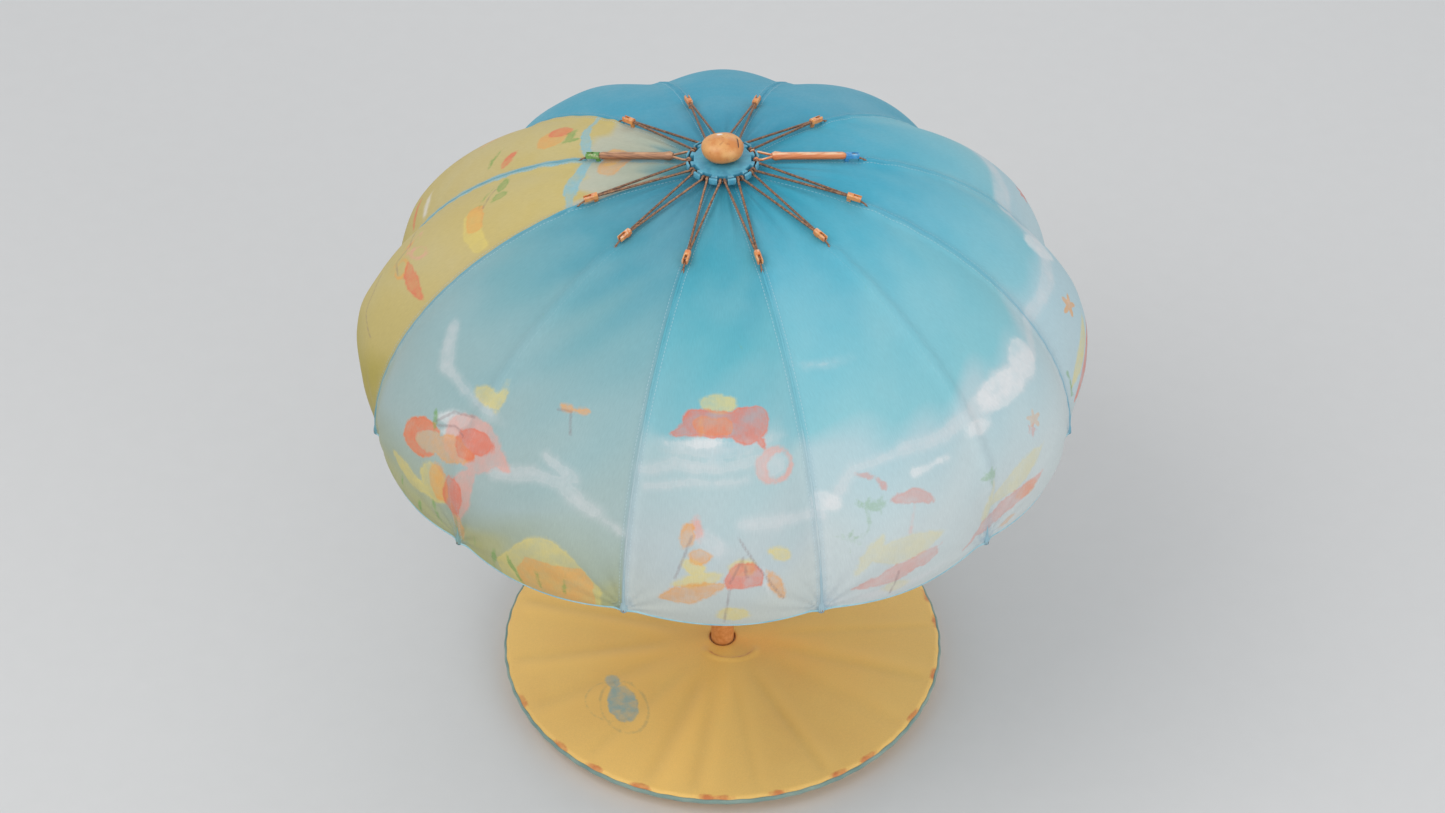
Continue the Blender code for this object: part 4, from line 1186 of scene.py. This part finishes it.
def knob_material():
    m = Nodes("knob_painted")
    where = m.place()
    patch = m.noise(where, 70.0, 4)
    colour = m.mix(m.remap(patch, 0.34, 0.68, 0, 1), (206, 132, 70), (222, 164, 100))
    speck = m.noise(where, 260.0, 3)
    colour = m.mix(m.remap(speck, 0.60, 0.70, 0, 0.45), colour, (160, 92, 50))
    # painted shade: the slit is coloured near black
    colour = m.mix(m.remap(m.attribute("slit"), 0.35, 0.8, 0, 0.9), colour, (52, 44, 46))
    # painted highlight: a white spot in the small dimple on top
    colour = m.mix(m.remap(m.attribute("highlight_dimple"), 0.4, 0.8, 0, 0.9), colour, (236, 234, 230))
    grain = m.noise(where, 900.0, 2)
    m.set(
        Base_Color=colour,
        Roughness=m.remap(patch, 0.3, 0.7, 0.34, 0.5),
        Normal=m.bump(grain, 0.2, 0.0003),
        Coat_Weight=0.12,
    )
    return m.mat


knob = knob_piece()
belong(knob, "mast", "top_knob")


# ---- the base


FOLD_COUNT = 19
FOLDS = [
    (
        TURN * (k + float(rng.uniform(-0.32, 0.32))) / FOLD_COUNT,
        float(rng.uniform(0.35, 1.0)),
        float(rng.uniform(5, 11)),
    )
    for k in range(FOLD_COUNT)
]


def fold_fields(turn, radius):
    """Height in metres of the soft radial folds in the base's cover, with their painted shade in the valleys
    and painted highlight on the crests.
    """
    height = 0.0
    shade = 0.0
    fade = ease(40 * MM, 110 * MM, radius) * ease(COVER_RADIUS, COVER_RADIUS - 25 * MM, radius)
    for angle, weight, width in FOLDS:
        across = radius * np.sin(turn - angle) / MM
        ahead = np.cos(turn - angle) > 0
        valley = np.exp(-((across / width) ** 2)) * ahead
        crest = np.exp(-(((across - 1.7 * width) / (1.5 * width)) ** 2)) * ahead
        height = height + weight * (0.9 * crest - 1.1 * valley) * MM
        shade = shade + weight * (0.07 * crest - 0.10 * valley)
    return height * fade, shade * fade


def base_height(turn, radius):
    """The top of the base's cover: soft folds that fade at the rim, and a raised tuck by the pole."""
    height = fold_fields(turn, radius)[0]
    x, y = radius * np.cos(turn), radius * np.sin(turn)
    bow = np.hypot(x - 10 * MM, (y + 22 * MM) / 0.6)
    ridge = np.exp(-(((bow - 31 * MM) / (4.5 * MM)) ** 2)) * ease(-14 * MM, -30 * MM, y)
    return height + 3.0 * MM * ridge


def base_piece():
    cols = 720
    around = np.arange(cols) / cols * TURN
    flat = np.linspace(COVER_HOLE, COVER_RADIUS - RIM_ROUND, 96)
    top = []
    for radius in flat:
        z = COVER_TOP + base_height(around, np.full(cols, radius)) * ease(
            COVER_HOLE, COVER_HOLE + 20 * MM, radius
        )
        top.append((np.full(cols, radius), z))
    corner = np.linspace(0, math.pi * 0.72, 14)[1:]
    gather = 0.5 * MM * np.sin(around * 60) + 0.3 * MM * np.sin(around * 37 + 1)
    for angle in corner:
        radius = COVER_RADIUS - RIM_ROUND + (RIM_ROUND + gather) * math.sin(angle)
        top.append((radius, COVER_TOP - RIM_ROUND + RIM_ROUND * math.cos(angle) + 0 * around))
    rim_end, rim_low = top[-1][0], float(top[-1][1][0])
    for t in np.linspace(0, 1, 16)[1:]:
        pleats = 0.8 * MM * math.sin(math.pi * t) * np.sin(around * 90 + 2 * np.sin(around * 7))
        top.append(
            (
                rim_end + (COVER_FOOT_RADIUS - rim_end) * t + pleats,
                rim_low + (2 * MM - rim_low) * t + 0 * around,
            ),
        )
    top.append((np.full(cols, COVER_FOOT_RADIUS - 3.5 * MM), 2 * MM + 0 * around))
    radii = np.array([r for r, _ in top])
    heights = np.array([z for _, z in top])
    angles = np.broadcast_to(around, radii.shape)
    points = np.stack([radii * np.cos(angles), radii * np.sin(angles), heights], -1)
    rows = len(top)
    under = points[::-1].copy()
    shrink = (np.hypot(under[..., 0], under[..., 1]) - 1.0 * MM) / np.hypot(under[..., 0], under[..., 1])
    under[..., 0] *= shrink
    under[..., 1] *= shrink
    under[..., 2] = np.maximum(under[..., 2] - 1.0 * MM, 2 * MM)
    both_sides = np.concatenate([points, under])
    quads = grid_faces(2 * rows, cols, closed=True, flip=False)
    closing = np.arange(cols)
    following = (closing + 1) % cols
    last = (2 * rows - 1) * cols
    quads = np.concatenate([quads, np.stack([last + closing, last + following, following, closing], -1)])
    obj = new_object("base_fabric", both_sides.reshape(-1, 3), quads, BASE_CLOTH)
    paint_base(obj.data, both_sides.reshape(-1, 3))
    return obj


# Marks on the cover, in millimetres.
BLOB_PLACE = (-121, -116)
SPOT_RADIUS = 267
SPOT_COUNT = 26


def paint_base(mesh, points):
    """The cover's colour with painted shade and highlight along its folds, a blue-grey mark in a thin ring,
    red spots at the rim and a painted shade line at the tuck by the pole.
    """
    x, y = points[:, 0] / MM, points[:, 1] / MM
    turn = np.arctan2(y, x)
    share = np.hypot(x, y) * MM / COVER_RADIUS
    inner, outer = linear((250, 190, 92)), linear((247, 198, 110))
    colour = inner + (outer - inner) * share[:, None]
    patches = 0.05 * np.sin(3 * turn + 1.1) + 0.04 * np.sin(5 * turn + 2.0 + 3 * share)
    # painted shade and highlight along the folds
    colour = colour * (1 + fold_fields(turn, share * COVER_RADIUS)[1] + patches)[:, None]
    warm = np.exp(-(((turn + 0.35) / 0.5) ** 2)) * ease(0.9, 0.2, share)
    colour = colour * (1 - warm[:, None] * np.array((0.0, 0.14, 0.30)))
    add_colours(mesh, "ground", colour)
    dx, dy = x - BLOB_PLACE[0], y - BLOB_PLACE[1]
    blob = np.minimum(oval(dx, dy, 18, 31, 14), oval(dx + 13, dy - 38, 9, 13, 30))
    add_floats(mesh, "azure", blob)
    ring = np.minimum(
        np.abs(oval(dx - 2, dy + 5, 28, 44, 16)) - 0.8, np.abs(oval(dx + 14, dy - 4, 30, 34, 40)) - 0.4
    )
    add_floats(mesh, "white", ring)
    spots = np.full(len(x), 30.0)
    for k in range(SPOT_COUNT):
        a = math.radians(200 + 7.1 * k + 3 * math.sin(5 * k))
        cx, cy = SPOT_RADIUS * math.cos(a), SPOT_RADIUS * math.sin(a)
        if math.sin(9.1 * k) > 0.1:
            spots = np.minimum(spots, oval(x - cx, y - cy, 11, 3.6, math.degrees(a) + 90))
    # painted shade: a dark coral line along the inner side of the tuck by the pole, kept with the red spots
    bow = np.hypot(x - 10, (y + 22) / 0.6)
    fold = both(np.abs(bow - 27) - 1.6, y + 26)
    add_floats(mesh, "coral", np.minimum(spots, fold))


base_cloth = base_piece()
belong(base_cloth, "base", "base_cover")


TRIM_THICK = 2.2 * MM
TRIM_TALL = 3.2 * MM
TRIM_RIPPLE = 0.4 * MM
TRIM_LOBES = 60


def trim_piece():
    """A gathered ring of piping round the rim."""
    rows, sides = 360, 14
    around, angle = np.meshgrid(np.arange(rows) / rows * TURN, np.arange(sides) / sides * TURN, indexing="ij")
    out = COVER_RADIUS + TRIM_RIPPLE * np.sin(TRIM_LOBES * around) + TRIM_THICK * np.cos(angle)
    up = COVER_TOP - RIM_ROUND + TRIM_TALL * np.sin(angle)
    points = np.stack([out * np.cos(around), out * np.sin(around), up], -1)
    i, j = np.meshgrid(np.arange(rows), np.arange(sides), indexing="ij")
    ni, nj = (i + 1) % rows, (j + 1) % sides
    quads = np.stack([i * sides + j, ni * sides + j, ni * sides + nj, i * sides + nj], -1).reshape(-1, 4)
    return new_object("base_trim_ring", points.reshape(-1, 3), quads, TRIM_CLOTH)


belong(trim_piece(), "base")


# ---- finishes on the CAD parts


def finish_cad(node, mat, bevel=0.35 * MM, angle=40.0):
    """Keeps a CAD part's shape, with eased edges, smooth rounds and its own material."""
    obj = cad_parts[node]
    mesh = obj.data
    if "custom_normal" in mesh.attributes:
        mesh.attributes.remove(mesh.attributes["custom_normal"])
    mesh.polygons.foreach_set("use_smooth", [True] * len(mesh.polygons))
    weld = obj.modifiers.new("weld", "WELD")
    weld.merge_threshold = 1e-6
    if bevel:
        edge = obj.modifiers.new("edge", "BEVEL")
        edge.width = bevel
        edge.segments = 2
        edge.limit_method = "ANGLE"
        edge.angle_limit = math.radians(angle)
        edge.use_clamp_overlap = True
    split = obj.modifiers.new("split", "EDGE_SPLIT")
    split.split_angle = math.radians(angle + 10)
    for k in range(len(obj.material_slots)):
        obj.material_slots[k].material = mat
    if not obj.material_slots:
        mesh.materials.append(mat)


for number in range(1, RIB_COUNT + 1):
    label = f"{number:02d}"
    rib_finish = {1: ROD_RIGHT, 6: ROD_LEFT}.get(number, WIRE)
    clip_finish = {1: CLIP_BLUE, 6: CLIP_GREEN}.get(number, CLIP_ORANGE)
    finish_cad("inner_rib_" + label, rib_finish, 0, 55)
    finish_cad("joint_clip_" + label, clip_finish, 0.5 * MM)
    finish_cad("outer_rib_" + label, WIRE, 0, 55)
    finish_cad("stretcher_" + label, STRETCHER, 0, 55)
finish_cad("crown", CROWN, 0.4 * MM)
finish_cad("crown_tie_wire", BLACK_WIRE, 0, 80)
finish_cad("runner", RUNNER, 0.5 * MM)
finish_cad("friction_ring", RUBBER, 0, 80)
finish_cad("canopy_washer", NYLON, 0.3 * MM)
finish_cad("pole", STEEL, 0.3 * MM)
finish_cad("base_weight", WEIGHT, 1 * MM)
finish_cad("pole_socket", SOCKET, 0.6 * MM)
finish_cad("lock_knob", LOCK, 0.6 * MM)


# ---- stage, light and camera


FLOOR_HALF = 9.0
FLOOR_HEIGHT = -0.6 * MM


def floor_piece():
    corners = ((-1, -1), (1, -1), (1, 1), (-1, 1))
    verts = [(x * FLOOR_HALF, y * FLOOR_HALF, FLOOR_HEIGHT) for x, y in corners]
    m = Nodes("floor_paper")
    grain = m.noise(m.place(), 30.0, 3)
    m.set(Base_Color=m.mix(grain, (206, 206, 206), (209, 209, 209)), Roughness=0.95, Specular_IOR_Level=0.1)
    return new_object("floor", verts, [(0, 1, 2, 3)], m.mat, smooth=False)


floor_piece()


def area_light(name, location, target, size, power, colour=(1, 1, 1)):
    data = bpy.data.lights.new(name, "AREA")
    data.size = size
    data.energy = power
    data.color = colour
    obj = bpy.data.objects.new(name, data)
    obj.location = location
    obj.rotation_mode = "QUATERNION"
    obj.rotation_quaternion = (Vector(target) - Vector(location)).to_track_quat("-Z", "Y")
    bpy.context.scene.collection.objects.link(obj)


area_light("key", (-1.9, -1.6, 3.6), (0, 0, 0.4), 2.6, 53, (1.0, 0.99, 0.97))
area_light("fill", (2.4, -2.8, 1.6), (0, 0, 0.3), 2.8, 41, (0.99, 0.99, 1.0))
area_light("back", (0.4, 2.8, 2.6), (0, 0, 0.5), 2.4, 12)

world = bpy.data.worlds.new("studio")
bpy.context.scene.world = world
world.use_nodes = True
sky = world.node_tree.nodes["Background"].inputs
sky["Color"].default_value = (0.93, 0.95, 0.97, 1)
sky["Strength"].default_value = 0.76

CAMERA_PLACE = (0.0, -2.7176, 2.769)
CAMERA_PITCH_DEG = 40.97
FOCAL_LENGTH = 77.06
lens = bpy.data.cameras.new("camera")
lens.lens = FOCAL_LENGTH
lens.sensor_width = 36.0
camera = bpy.data.objects.new("camera", lens)
camera.location = CAMERA_PLACE
camera.rotation_euler = (math.radians(90 - CAMERA_PITCH_DEG), 0, 0)
bpy.context.scene.collection.objects.link(camera)
bpy.context.scene.camera = camera
bpy.context.scene.view_settings.view_transform = "Standard"
